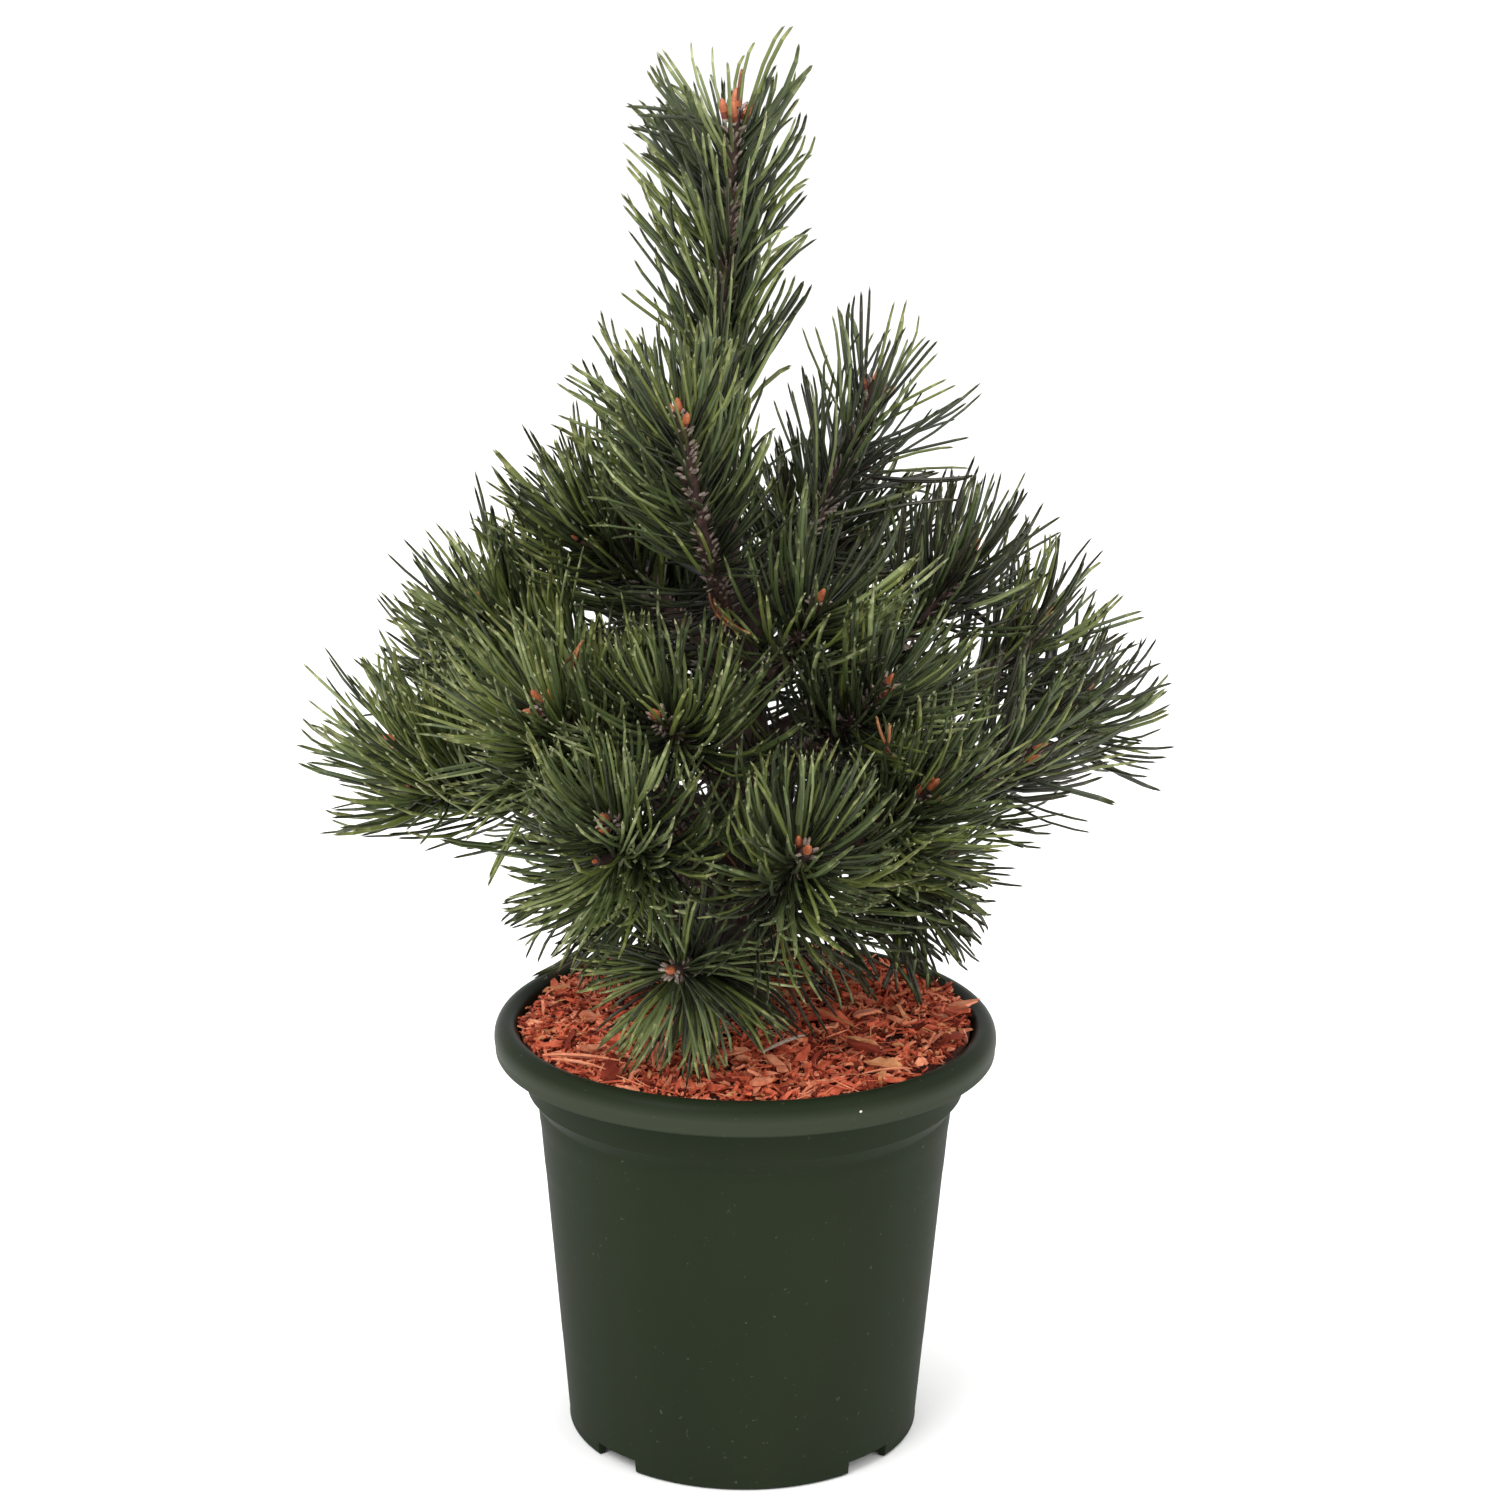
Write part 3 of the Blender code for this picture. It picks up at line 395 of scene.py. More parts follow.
# Shares of the tones on a shoot in full light, and what full shade and old wood add to them.
# The darker tones that shade adds, and the light tone in full light, are painted shade and painted light.
DARK_SHARES = (0.17, 0.45, 0.25)
LIGHT_SHARES = (0.19, -0.17, -0.15)
OLIVE_SHARES = (0.27, -0.13, -0.08)
DEAD_SHARES = (0.001, 0, 0.007)
MOST_DARK = 0.94
LEAST_LIGHT = 0.01
# The share of the dark needles that get the painted-shade tone, and the shades between which it grows to
# that.
PAINTED_SHADE_SHARE = 0.65
PAINTED_SHADE_RANGE = (0.65, 0.95)
# Shade by place: its depth from the lit front left, then the shade low down, between the heights
# and the distances from the middle, and the shade near the trunk, in the same way.
# All this shade is painted: it deals darker tones to the needles.
SHADE_AXIS = (0.7, 0.7)
SHADE_DEPTH = 0.09
LOW_SHADE = 0.7
LOW_SHADE_HEIGHTS = (0.285, 0.245)
LOW_SHADE_WIDTHS = (0.084, 0.014)
INNER_SHADE = 0.8
INNER_SHADE_HEIGHTS = (0.375, 0.345)
INNER_SHADE_REACH = (0.05625, 0.01125)
# Shade on undersides, which is none on a shoot that points as far to the front as this.
# It is painted shade: needles that point down are dealt darker tones.
UNDERSIDE_SHADE = 1.1
UNDERSIDE_STEEPEST = 0.8
LIT_HEADING = -0.625

# Stage and camera
FLOOR_HALF_SIDE = 30.0
FLOOR_DROP = 0.0002
WORLD_STRENGTH = 1.12
LIGHT_AIM = Vector((0, 0, 0.25))
# Name, place, size and power.
LIGHTS = (
    ("key_light", (-1.3, -1.6, 2.2), 1.8, 52),
    ("fill_light", (1.8, -1.2, 1.4), 1.6, 14),
    ("top_light", (0.2, 0.6, 2.6), 1.6, 24),
)
CAMERA_DISTANCE = 1.151
CAMERA_HEIGHT = 0.5769
CAMERA_PITCH = 0.2630
CAMERA_ROLL = 0.0079
CAMERA_YAW = 0.0008
FOCAL_PIXELS = 3218
PHOTO_SIDE = 1500
SENSOR = 36.0


# Materials
def linear(*colours):
    # Blender's linear colours from usual screen values.
    def channel(value):
        value /= 255
        return value / 12.92 if value <= 0.04045 else ((value + 0.055) / 1.055) ** 2.4
    return [tuple(map(channel, colour)) + (1.0,) for colour in colours]


def feed(tree, node, values):
    # Sets a node's inputs, each to a constant or to another node's output.
    for name, value in values.items():
        if isinstance(value, bpy.types.NodeSocket):
            tree.links.new(value, node.inputs[name])
        else:
            node.inputs[name].default_value = value


def add_node(tree, kind, values, **settings):
    node = tree.nodes.new("ShaderNode" + kind)
    for name, value in settings.items():
        setattr(node, name, value)
    feed(tree, node, values)
    return node


def place_noise(tree, scale, detail=4.0, stretch=(1, 1, 1)):
    place = add_node(tree, "TexCoord", {}).outputs["Object"]
    stretched = add_node(tree, "Mapping", {"Vector": place, "Scale": stretch}).outputs["Vector"]
    pattern = {"Vector": stretched, "Scale": scale, "Detail": detail, "Roughness": 0.55}
    return add_node(tree, "TexNoise", pattern).outputs["Fac"]


def ramp(tree, source, places, colours):
    chart = add_node(tree, "ValToRGB", {"Fac": source})
    elements = chart.color_ramp.elements
    while len(elements) < len(places):
        elements.new(0.5)
    for element, place, colour in zip(elements, places, colours):
        element.position = place
        element.color = colour
    return chart.outputs["Color"]


def map_range(tree, source, low, high, start=0.0, end=1.0):
    span = {"Value": source, "From Min": start, "From Max": end, "To Min": low, "To Max": high}
    return add_node(tree, "MapRange", span).outputs["Result"]


def mix(tree, share, low, high):
    # Inputs 6 and 7 and output 2 are the mixing node's colours.
    return add_node(tree, "Mix", {"Factor": share, 6: low, 7: high}, data_type="RGBA").outputs[2]


def relief(tree, source, strength, depth):
    bump = {"Height": source, "Strength": strength, "Distance": depth}
    return add_node(tree, "Bump", bump).outputs["Normal"]


def new_material(name):
    material = bpy.data.materials.new(name)
    material.use_nodes = True
    return material, material.node_tree


def organic(name, look, colours=None):
    # A surface whose colour wanders between its look's colours, or between linear ones given here.
    material, tree = new_material(name)
    pattern = place_noise(tree, look.scale, look.detail, look.stretch)
    surface = {"Base Color": ramp(tree, pattern, look.places, colours or linear(*look.colours)),
               "Roughness": map_range(tree, pattern, *look.rough),
               "Specular IOR Level": look.specular}
    if look.relief:
        scale, strength, depth = look.relief
        surface["Normal"] = relief(tree, place_noise(tree, scale, 6.0, look.stretch), strength, depth)
    feed(tree, tree.nodes["Principled BSDF"], surface)
    return material


def plain_look(name):
    return organic(name, LOOKS[name])


def plastic_material():
    material, tree = new_material("pot_green_plastic")
    body = ramp(tree, place_noise(tree, 14, 3.0, (1, 1, 0.35)), ENDS, linear(*POT_COLOURS))
    place = add_node(tree, "TexCoord", {}).outputs["Object"]
    height = add_node(tree, "SeparateXYZ", {0: place}).outputs["Z"]
    rise = map_range(tree, height, 0, 1, RIM_LIP_BOTTOM, RIM_TOP)
    # The rim's face is painted paler than the body and than the roll's top, as a painted highlight.
    on_rim = add_node(tree, "Math", {0: rise, 1: 0.01}, operation="GREATER_THAN").outputs[0]
    green = mix(tree, on_rim, body, ramp(tree, rise, RIM_HIGHLIGHT_PLACES, linear(*RIM_HIGHLIGHT_COLOURS)))
    specks = ramp(tree, place_noise(tree, 420, 2.0), DUST_PLACES, linear((0, 0, 0), (255, 255, 255)))
    feed(tree, tree.nodes["Principled BSDF"], {
        "Base Color": mix(tree, specks, green, linear(POT_DUST)[0]),
        "Roughness": map_range(tree, rise, *POT_ROUGHNESS),
        "Normal": relief(tree, place_noise(tree, 1500, 3.0), 0.10, 0.0001),
        "Specular IOR Level": POT_SPECULAR,
        "IOR": POT_IOR,
    })
    return material


def needle_materials(tone):
    # For the needles' bodies, tips and shaded feet.
    dark, light, tip = linear(*NEEDLE_COLOURS[tone])
    foot = [tuple(channel * shade for channel in dark[:3]) + (1.0,) for shade in FOOT_SHADES]
    parts = (("needle_", (dark, light)), ("needle_tip_", (light, tip)), ("needle_foot_", foot))
    return [organic(name + tone, NEEDLE_LOOK, colours) for name, colours in parts]


# Joined meshes
def add_object(name, data):
    thing = bpy.data.objects.new(name, data)
    bpy.context.scene.collection.objects.link(thing)
    return thing


class Heap:
    # Gathers many small meshes, each with its faces' material numbers, into one object.
    def __init__(self):
        self.points = []
        self.count = 0
        self.faces = {4: [], 3: []}
        self.slots = {4: [], 3: []}

    def add(self, points, quads=(), triangles=(), quad_slots=0, triangle_slots=0):
        for corners, faces, slots in ((4, quads, quad_slots), (3, triangles, triangle_slots)):
            faces = np.asarray(faces, int).reshape(-1, corners)
            self.faces[corners].append(faces + self.count)
            self.slots[corners].append(np.broadcast_to(slots, len(faces)))
        self.points.append(np.asarray(points, float).reshape(-1, 3))
        self.count += len(self.points[-1])

    def build(self, name, materials, sharp=None):
        mesh = bpy.data.meshes.new(name)
        quads, triangles = (np.concatenate(self.faces[corners]).tolist() for corners in (4, 3))
        mesh.from_pydata(np.concatenate(self.points).tolist(), [], quads + triangles)
        slots = np.concatenate(self.slots[4] + self.slots[3]).astype(np.int32)
        for material in materials:
            mesh.materials.append(material)
        mesh.polygons.foreach_set("material_index", slots)
        mesh.shade_smooth()
        if sharp:
            mesh.set_sharp_from_angle(angle=math.radians(sharp))
        mesh.update()
        return add_object(name, mesh)


def ring_quads(rings, sides):
    # Quads between neighbouring rings of points, closed round.
    near = np.arange(sides)
    far = (near + 1) % sides
    starts = (np.arange(rings - 1) * sides)[:, None]
    corners = [starts + near, starts + far, starts + sides + far, starts + sides + near]
    return np.stack(corners, axis=-1).reshape(-1, 4)


def fan(centre, ring_start, sides, flip=False):
    near = ring_start + np.arange(sides)
    far = ring_start + (np.arange(sides) + 1) % sides
    middle = np.full(sides, centre)
    return np.stack([middle, near, far] if flip else [middle, far, near], axis=-1)


# Lines and limbs
def unit(vectors):
    return vectors / np.linalg.norm(vectors, axis=-1, keepdims=True)


def fade(value, start, end):
    # 0 up to the start and 1 from the end on. The start may be the higher of the two.
    return np.clip((value - start) / (end - start), 0, 1)


def circle(sides):
    return np.arange(sides) * math.tau / sides


def polar(radius, angle):
    return radius * math.cos(angle), radius * math.sin(angle)


def bezier(start, leave, arrive, end, count):
    share = np.linspace(0, 1, count)[:, None]
    rest = 1 - share
    return (start * rest ** 3 + leave * 3 * rest * rest * share
            + arrive * 3 * rest * share * share + end * share ** 3)


def heading(azimuth, lift):
    turn = math.radians(azimuth)
    rise = math.radians(lift)
    return np.array((math.cos(turn) * math.cos(rise), math.sin(turn) * math.cos(rise), math.sin(rise)))


def lengths_of(line):
    steps = np.linalg.norm(np.diff(line, axis=0), axis=1)
    return np.concatenate([[0.0], np.cumsum(steps)])


def along(line, places, vectors=None):
    # Points, or vectors given for the line's points, at distances along the line.
    vectors = line if vectors is None else vectors
    lengths = lengths_of(line)
    return np.stack([np.interp(places, lengths, vectors[:, axis]) for axis in range(3)], axis=-1)


def directions_of(line):
    return unit(np.gradient(line, axis=0))


def frames_of(line):
    # Directions and two normals along a line that don't twist round it.
    directions = directions_of(line)
    normals = [np.array(Vector(directions[0]).orthogonal().normalized())]
    for before, after in zip(directions, directions[1:]):
        turn = Vector(before).rotation_difference(Vector(after))
        normals.append(np.array(turn @ Vector(normals[-1])))
    normals = np.array(normals)
    return directions, normals, np.cross(directions, normals)


def spokes(normals, others, angles):
    # Out from each point, at each angle round it.
    return (normals[:, None, :] * np.cos(angles)[None, :, None]
            + others[:, None, :] * np.sin(angles)[None, :, None])


def radials(line, places, turns):
    # The line's direction at each place along it, and one spoke there at each place's own turn.
    directions, normals, _ = frames_of(line)
    heads = unit(along(line, places, directions))
    normal = unit(along(line, places, normals))
    return heads, normal * np.cos(turns)[:, None] + np.cross(heads, normal) * np.sin(turns)[:, None]


def seats(line, radii, places, radial, depth):
    # Places at a share of the limb's radius.
    return along(line, places) + radial * np.interp(places, lengths_of(line), radii)[:, None] * depth


def trunk_point(height):
    for low, high in zip(TRUNK, TRUNK[1:]):
        if height <= high.height:
            break
    share = (height - low.height) / (high.height - low.height)
    eased = share * share * (3 - 2 * share)
    x = low.x + (high.x - low.x) * eased
    y = low.y + (high.y - low.y) * eased
    radius = low.radius + (high.radius - low.radius) * share
    return np.array((x, y, height)), radius


def limb_line(bough, count=61):
    root, _ = trunk_point(bough.start)
    bud = heading(bough.azimuth, 0) * bough.reach + np.array((0, 0, bough.height))
    chord = bud - root
    length = np.linalg.norm(chord)
    chord_azimuth = math.degrees(math.atan2(chord[1], chord[0]))
    chord_lift = math.degrees(math.asin(chord[2] / length))
    leave = root + heading(chord_azimuth, chord_lift - START_LIFT_DROP) * length / 3
    arrive = bud - heading(bough.azimuth, bough.lift) * length / 3
    return bezier(root, leave, arrive, bud, count)


def leader_line(count=61):
    root = np.array((TRUNK[-1].x, TRUNK[-1].y, TRUNK[-1].height + GAP))
    leave = root + np.array((0, 0, LEADER_BEND))
    arrive = LEADER_TIP - np.array((LEADER_TIP_LEAN, 0, LEADER_BEND))
    return bezier(root, leave, arrive, LEADER_TIP, count)


def split_limb(bough, count=40):
    # The bough's bare part and its shoot.
    line = limb_line(bough)
    total = lengths_of(line)[-1]
    joint = total - bough.shoot
    return along(line, np.linspace(0, joint, count)), along(line, np.linspace(joint, total, count))


def tube(heap, line, radii, sides, roughen, closed_foot=False):
    # A round limb whose radius is changed point by point by a relief rule.
    directions, normals, others = frames_of(line)
    lengths = lengths_of(line)
    angles = circle(sides)
    outward = spokes(normals, others, angles)
    points = line[:, None, :] + outward * radii[:, None, None]
    for i, j in np.ndindex(len(line), sides):
        points[i, j] += outward[i, j] * roughen(points[i, j], lengths[i], angles[j], radii[i])
    count = len(line) * sides
    ends = [line[-1] + directions[-1] * radii[-1] * 0.5]
    faces = [fan(count, count - sides, sides)]
    if closed_foot:
        ends.append(line[0])
        faces.append(fan(count + 1, 0, sides, flip=True))
    heap.add(np.concatenate([points.reshape(-1, 3), ends]), ring_quads(len(line), sides),
             np.concatenate(faces))


def old_bark(point, length, angle, radius):
    # Broken plates with furrows between them, longer along the trunk than across it.
    plates = noise.voronoi(Vector(point * PLATES))[0]
    furrow = min(1.0, (plates[1] - plates[0]) * FURROW_SHARPNESS)
    grain = noise.noise(Vector(point * OLD_GRAIN))
    return radius * (PLATE_HEIGHT * furrow - FURROW_DEPTH + OLD_GRAIN_DEPTH * grain)


def young_bark(point, length, angle, radius):
    # Scale-like leaf bases in two crossing spirals, as on a young pine shoot.
    pitch = math.tau * length / LEAF_BASE_PITCH
    scales = max(0.0, math.cos(3 * angle + pitch)) * max(0.0, math.cos(5 * angle - pitch * 0.62))
    grain = noise.noise(Vector(point * YOUNG_GRAIN))
    return LEAF_BASE_HEIGHT * scales + YOUNG_GRAIN_DEPTH * grain


# Growing space, as the source rules it
def dense(line, radii):
    # Close places along a limb, and its radius at each.
    lengths = lengths_of(line)
    places = np.linspace(0, lengths[-1], max(3, int(lengths[-1] / 0.002)))
    return along(line, places), np.interp(places, lengths, radii)


def distances(points, places):
    return np.linalg.norm(points[:, None, :] - places[None, :, :], axis=2)


class Space:
    # The space of one mass: near its own shoot, clear of limbs, pot and mulch.
    def __init__(self, own, others, limbs):
        self.own = own
        self.others = others
        self.limb_places = np.concatenate([places for places, _ in limbs])
        self.limb_widths = np.concatenate([widths for _, widths in limbs])

    def holds(self, paths, shared):
        # For an array of paths, each of some points: which of them keep to the space.
        points = paths.reshape(-1, 3)
        own_gap = distances(points, self.own).min(axis=1)
        other_gap = distances(points, self.others).min(axis=1)
        limb_gap = (distances(points, self.limb_places) - self.limb_widths).min(axis=1)
        good = (other_gap - own_gap > -shared) & (limb_gap > LIMB_CLEARANCE) & above_pot(points)
        return good.reshape(paths.shape[:2]).all(axis=1)


def above_pot(points):
    radii = np.hypot(points[..., 0], points[..., 1])
    mulch_top = mulch_level(points[..., 0], points[..., 1]) + MULCH_RELIEF + MULCH_CLEARANCE
    floor = np.where(radii < RIM_INNER_RADIUS - RIM_INSIDE, mulch_top, RIM_TOP + RIM_CLEARANCE)
    floor = np.where(radii > RIM_RADIUS + RIM_OUTSIDE, BODY_TOP, floor)
    return points[..., 2] > floor


def side_direction(direction, turn, angle):
    direction = Vector(direction)
    side = direction.orthogonal().normalized()
    spun = Matrix.Rotation(turn, 3, direction) @ side
    return np.array((direction * math.cos(angle) + spun * math.sin(angle)).normalized())


def side_twigs(line, count, space, rng):
    # Short twigs that leave a shoot in golden-angle order, where its space has room for them.
    total = lengths_of(line)[-1]
    directions = directions_of(line)
    turn = rng.uniform(0, math.tau)
    twigs = []
    for _ in range(count * TWIG_TRIES):
        turn += GOLDEN_ANGLE
        index = int(rng.uniform(*TWIG_PLACES) * (len(line) - 1))
        root, onward = line[index], directions[index]
        lean = side_direction(onward, turn, math.radians(TWIG_ANGLE))
        length = total * TWIG_SHARE * rng.uniform(*TWIG_LENGTHS)
        leave = root + lean * length / 3
        tip = root + unit(lean * 0.75 + onward * 0.25) * length
        arrive = tip - unit(lean * 0.5 + onward * 0.5) * length / 3
        twig = bezier(root, leave, arrive, tip, TWIG_POINTS)
        if len(twigs) < count and space.holds(twig[None, TWIG_POINTS // 2:], 0.0)[0]:
            twigs.append(twig)
    return twigs


# Needles
STATIONS = np.array((0.0, 0.14, 0.38, 0.62, 0.85, 0.965))
STATION_WIDTHS = np.array((0.80, 1.0, 1.0, 1.0, 0.94, 0.66))
SECTION = np.array(((-0.5, 0.0), (0.0, -0.30), (0.5, 0.0), (0.0, 0.62)))
# The materials between the stations: two shaded spans at the foot and one pale one at the tip.
STATION_SLOTS = (2, 2, 0, 0, 1)
PATH_STATIONS = np.array((0.25, 0.45, 0.65, 0.85, 1.0))
Needles = namedtuple("Needles", "roots headings bends sways lengths widths sides")


def needles_of(*parts):
    # Shapes each part so that it spreads over the stations along the needles.
    return Needles(*(np.reshape(part, (len(part), 1, -1)) for part in parts))


def needle_paths(needles, stations):
    # Bends add up towards the tip. Sways bow the middle and leave the tip in its place.
    steps = stations[:, None]
    return needles.roots + needles.lengths * (
        needles.headings * steps + needles.bends * steps ** 2 + needles.sways * (steps ** 3 - steps ** 2))


def add_needles(heap, needles):
    # Curved needles with a half-round section. The tips are the second slot, the shaded feet the third.
    count = len(needles.roots)
    if not count:
        return
    steps = STATIONS[:, None]
    directions = unit(needles.headings + 2 * needles.bends * steps
                      + needles.sways * (3 * steps ** 2 - 2 * steps))
    across = unit(needles.sides - directions * (needles.sides * directions).sum(-1, keepdims=True))
    outward = np.cross(directions, across)
    size = (needles.widths * STATION_WIDTHS[:, None])[..., None]
    rings = needle_paths(needles, STATIONS)[:, :, None] + size * (
        across[:, :, None] * SECTION[:, :1]
        + outward[:, :, None] * SECTION[:, 1:] * (NEEDLE_THICKNESS / NEEDLE_WIDTH * 2))
    tips = needle_paths(needles, np.array((1.0,)))
    points = np.concatenate([rings.reshape(count, -1, 3), tips], axis=1)
    quads = ring_quads(len(STATIONS), 4)
    ends = fan(points.shape[1] - 1, (len(STATIONS) - 1) * 4, 4)
    starts = (np.arange(count) * points.shape[1])[:, None, None]
    heap.add(points, quads + starts, ends + starts, np.tile(np.repeat(STATION_SLOTS, 4), count), 1)


def add_sheaths(heap, roots, headings, sides):
    # A short papery sleeve round the foot of each pair of needles.
    outward = spokes(sides, np.cross(headings, sides), circle(4))
    rings = [(roots + headings * SHEATH_LENGTH * place)[:, None, :] + outward * SHEATH_RADIUS * radius
             for place, radius in SHEATH_RINGS]
    starts = (np.arange(len(roots)) * len(rings) * 4)[:, None, None]
    heap.add(np.stack(rings, axis=1), ring_quads(len(rings), 4) + starts)


def inside_box(points):
    low, high = np.array(cad_box)
    return ((points > low + BOX_CLEARANCE) & (points < high - BOX_CLEARANCE)).all(axis=-1)


def trim(roots, headings, bends, lengths):
    # Needles that would pass the plant's own outer size, or reach into the mulch, are cut shorter.
    trimmed = np.zeros(len(lengths))
    for factor in TRIMS:
        tips = roots + (lengths * factor)[:, None] * (headings + bends)
        trimmed = np.where((trimmed == 0) & inside_box(tips) & above_pot(tips), lengths * factor, trimmed)
    return trimmed


# What the needles of one mass share.
Spray = namedtuple("Spray", "rng space heaps shade habit")


def aim_pairs(spray, line, places, share, age, sweep):
    # Golden-angle order along a shoot: its direction at each pair, the way out from it to the pair,
    # the pair's own direction and the way across it.
    rng, habit, count = spray.rng, spray.habit, len(places)
    turn = rng.uniform(0, math.tau) + GOLDEN_ANGLE * np.arange(count) + rng.normal(0, TURN_SPREAD, count)
    if habit is LOW_HABIT:
        clump = np.round(turn / math.tau * LOW_CLUMPS) * math.tau / LOW_CLUMPS
        turn = clump + (turn - clump) * CLUMP_SPREAD
    heads, radial = radials(line, places, turn)
    angle = habit.foot + (habit.bud - habit.foot) * share ** NEEDLE_ANGLE_POWER
    angle = angle + rng.uniform(-habit.spread, habit.spread, count)
    if age:
        angle = rng.uniform(*OLD_ANGLES, count)
    angle = np.radians(angle)[:, None]
    lean = heads + (sweep[0] + (sweep[1] - sweep[0]) * share)[:, None] * np.array((1.0, 0.0, 0.0))
    pair = unit(lean * np.cos(angle) + radial * np.sin(angle))
    across = unit(np.cross(heads, radial))
    twist = rng.uniform(-PAIR_TWIST, PAIR_TWIST, count)[:, None]
    return heads, radial, pair, unit(across * np.cos(twist) + np.cross(pair, across) * np.sin(twist))


def bend_pairs(spray, heads, pair):
    # Needles curve in towards the shoot and up, each pair in its own way.
    rng, habit, count = spray.rng, spray.habit, len(pair)
    inward = heads - pair * (heads * pair).sum(-1, keepdims=True)
    upward = np.array((0, 0, 1)) - pair * pair[:, 2:]
    curl = rng.normal(habit.curl, CURL_SPREAD, count)[:, None]
    rise = rng.normal(habit.rise, RISE_SPREAD, count)[:, None]
    return inward * curl + upward * rise + rng.normal(0, BEND_SPREAD, (count, 3))


def missing_pairs(spray, share, radial, pair, age, bare_front):
    # Where the photo shows bare bark or buds in front, and where needles would hang too steeply.
    rng, count = spray.rng, len(share)
    facing = radial[:, 1] < FRONT_FACING
    missing = facing & (share < BARE_FRONT_END) & (rng.random(count) < bare_front)
    missing |= facing & (share > BUD_VIEW_START) & (rng.random(count) < BUD_VIEW) & (not age)
    if spray.habit in (OUTER_HABIT, LACY_HABIT):
        missing |= pair[:, 2] < HANG_LIMIT
    return missing


def dress(spray, line, radii, first, last, age=0, bare_front=0.0, sweep=(0, 0)):
    # Pairs of needles along a shoot. Age 0 is this year's growth, 1 is old wood.
    rng = spray.rng
    count = max(1, int((last - first) / (OLD_PAIR_SPACING if age else spray.habit.spacing)))
    share = (np.arange(count) + 0.5) / count
    places = first + (last - first) * share
    heads, radial, pair, side = aim_pairs(spray, line, places, share, age, sweep)
    length = NEEDLE_LENGTH_FOOT + (NEEDLE_LENGTH_BUD - NEEDLE_LENGTH_FOOT) * share
    length = length * (1 + rng.uniform(-NEEDLE_LENGTH_SPREAD, NEEDLE_LENGTH_SPREAD, count))
    if spray.habit is LOW_HABIT:
        length = length * LOW_NEEDLE_SHARE
    bend = bend_pairs(spray, heads, pair)
    sway = rng.normal(0, SWAY_SPREAD, (count, 3))
    missing = missing_pairs(spray, share, radial, pair, age, bare_front)
    foot = seats(line, radii, places, radial, NEEDLE_SEAT)
    # Painted shade: the tuft's, the crown's and the undersides' shade deal darker tones to the pairs.
    under = np.clip(-pair[:, 2], 0, UNDERSIDE_STEEPEST) * fade(heads[:, 1], LIT_HEADING, 0)
    shade = spray.shade + inner_shade(along(line, places)) + UNDERSIDE_SHADE * under
    tones = deal_tones(rng.random(count), age, shade)
    slimness = np.where(tones == TONES.index("dead"), DEAD_WIDTH_SHARE, 1.0)
    kept = np.zeros(count, bool)
    for sign in (-1, 1):
        splay = np.radians(rng.uniform(*PAIR_SPLAY, count))[:, None]
        head = unit(pair * np.cos(splay) + side * np.sin(splay) * sign)
        bow = bend - side * (PAIR_BOW * sign)
        root = foot + side * PAIR_GAP * sign
        size = trim(root, head, bow, length * rng.uniform(*LENGTH_RANGE, count))
        width = NEEDLE_WIDTH * rng.uniform(*WIDTH_RANGE, count) * slimness
        needles = needles_of(root, head, bow, sway, size, width, side)
        good = spray.space.holds(needle_paths(needles, PATH_STATIONS), SHARED_SPACE)
        good &= (size > 0) & ~missing
        kept |= good
        for number, tone in enumerate(TONES):
            chosen = good & (tones == number)
            add_needles(spray.heaps[tone], Needles(*(part[chosen] for part in needles)))
    add_sheaths(spray.heaps["sheath"], foot[kept], pair[kept], side[kept])


def add_stubs(spray, line, radii, first, last):
    # Short dry sleeves left where needles have dropped.
    rng = spray.rng
    places = np.arange(first, last, STUB_SPACING)
    heads, radial = radials(line, places, rng.uniform(0, math.tau, len(places)))
    lean = unit(heads * rng.uniform(*STUB_LEAN, len(places))[:, None] + radial)
    roots = seats(line, radii, places, radial, STUB_SEAT)
    add_sheaths(spray.heaps["sheath"], roots, lean, unit(np.cross(heads, radial)))


def shade_of(place):
    # Light comes from the front left: 0 for a tuft in full light and 1 for one in deep shade.
    # This shade is painted into the tones dealt to the tuft's needles.
    x, y, z = place
    side = 0.5 + 0.5 * np.clip((y * SHADE_AXIS[1] + x * SHADE_AXIS[0]) / SHADE_DEPTH, -1, 1)
    low = LOW_SHADE * fade(z, *LOW_SHADE_HEIGHTS) * fade(abs(x), *LOW_SHADE_WIDTHS)
    return min(1.0, side + low)


def inner_shade(roots):
    # Needles near the trunk, below the leader, stand in the crown's own shade.
    # This is painted shade: it deals darker tones to these needles.
    middle = np.stack([trunk_point(min(height, TRUNK[-1].height))[0][:2] for height in roots[:, 2]])
    away = np.linalg.norm(roots[:, :2] - middle, axis=1)
    return INNER_SHADE * fade(away, *INNER_SHADE_REACH) * fade(roots[:, 2], *INNER_SHADE_HEIGHTS)


def deal_tones(dealt, age, shade):
    # The tone of each spray, by its age and shade and the number from 0 to 1 dealt to it.
    dark, light, olive, dead = (lit + shaded * shade + old * age for lit, shaded, old in (
        DARK_SHARES, LIGHT_SHARES, OLIVE_SHARES, DEAD_SHARES))
    dark = np.minimum(MOST_DARK, dark)
    # Painted shade: the darkest tone goes only to needles in deep shade.
    painted_shade = dark * PAINTED_SHADE_SHARE * fade(shade, *PAINTED_SHADE_RANGE)
    light = np.maximum(LEAST_LIGHT, light)
    olive = np.maximum(LEAST_LIGHT, olive)
    mid = np.maximum(0, 1 - dark - dead - light - olive)
    return (dealt > np.cumsum([painted_shade, dark - painted_shade, mid, olive, light], axis=0)).sum(axis=0)


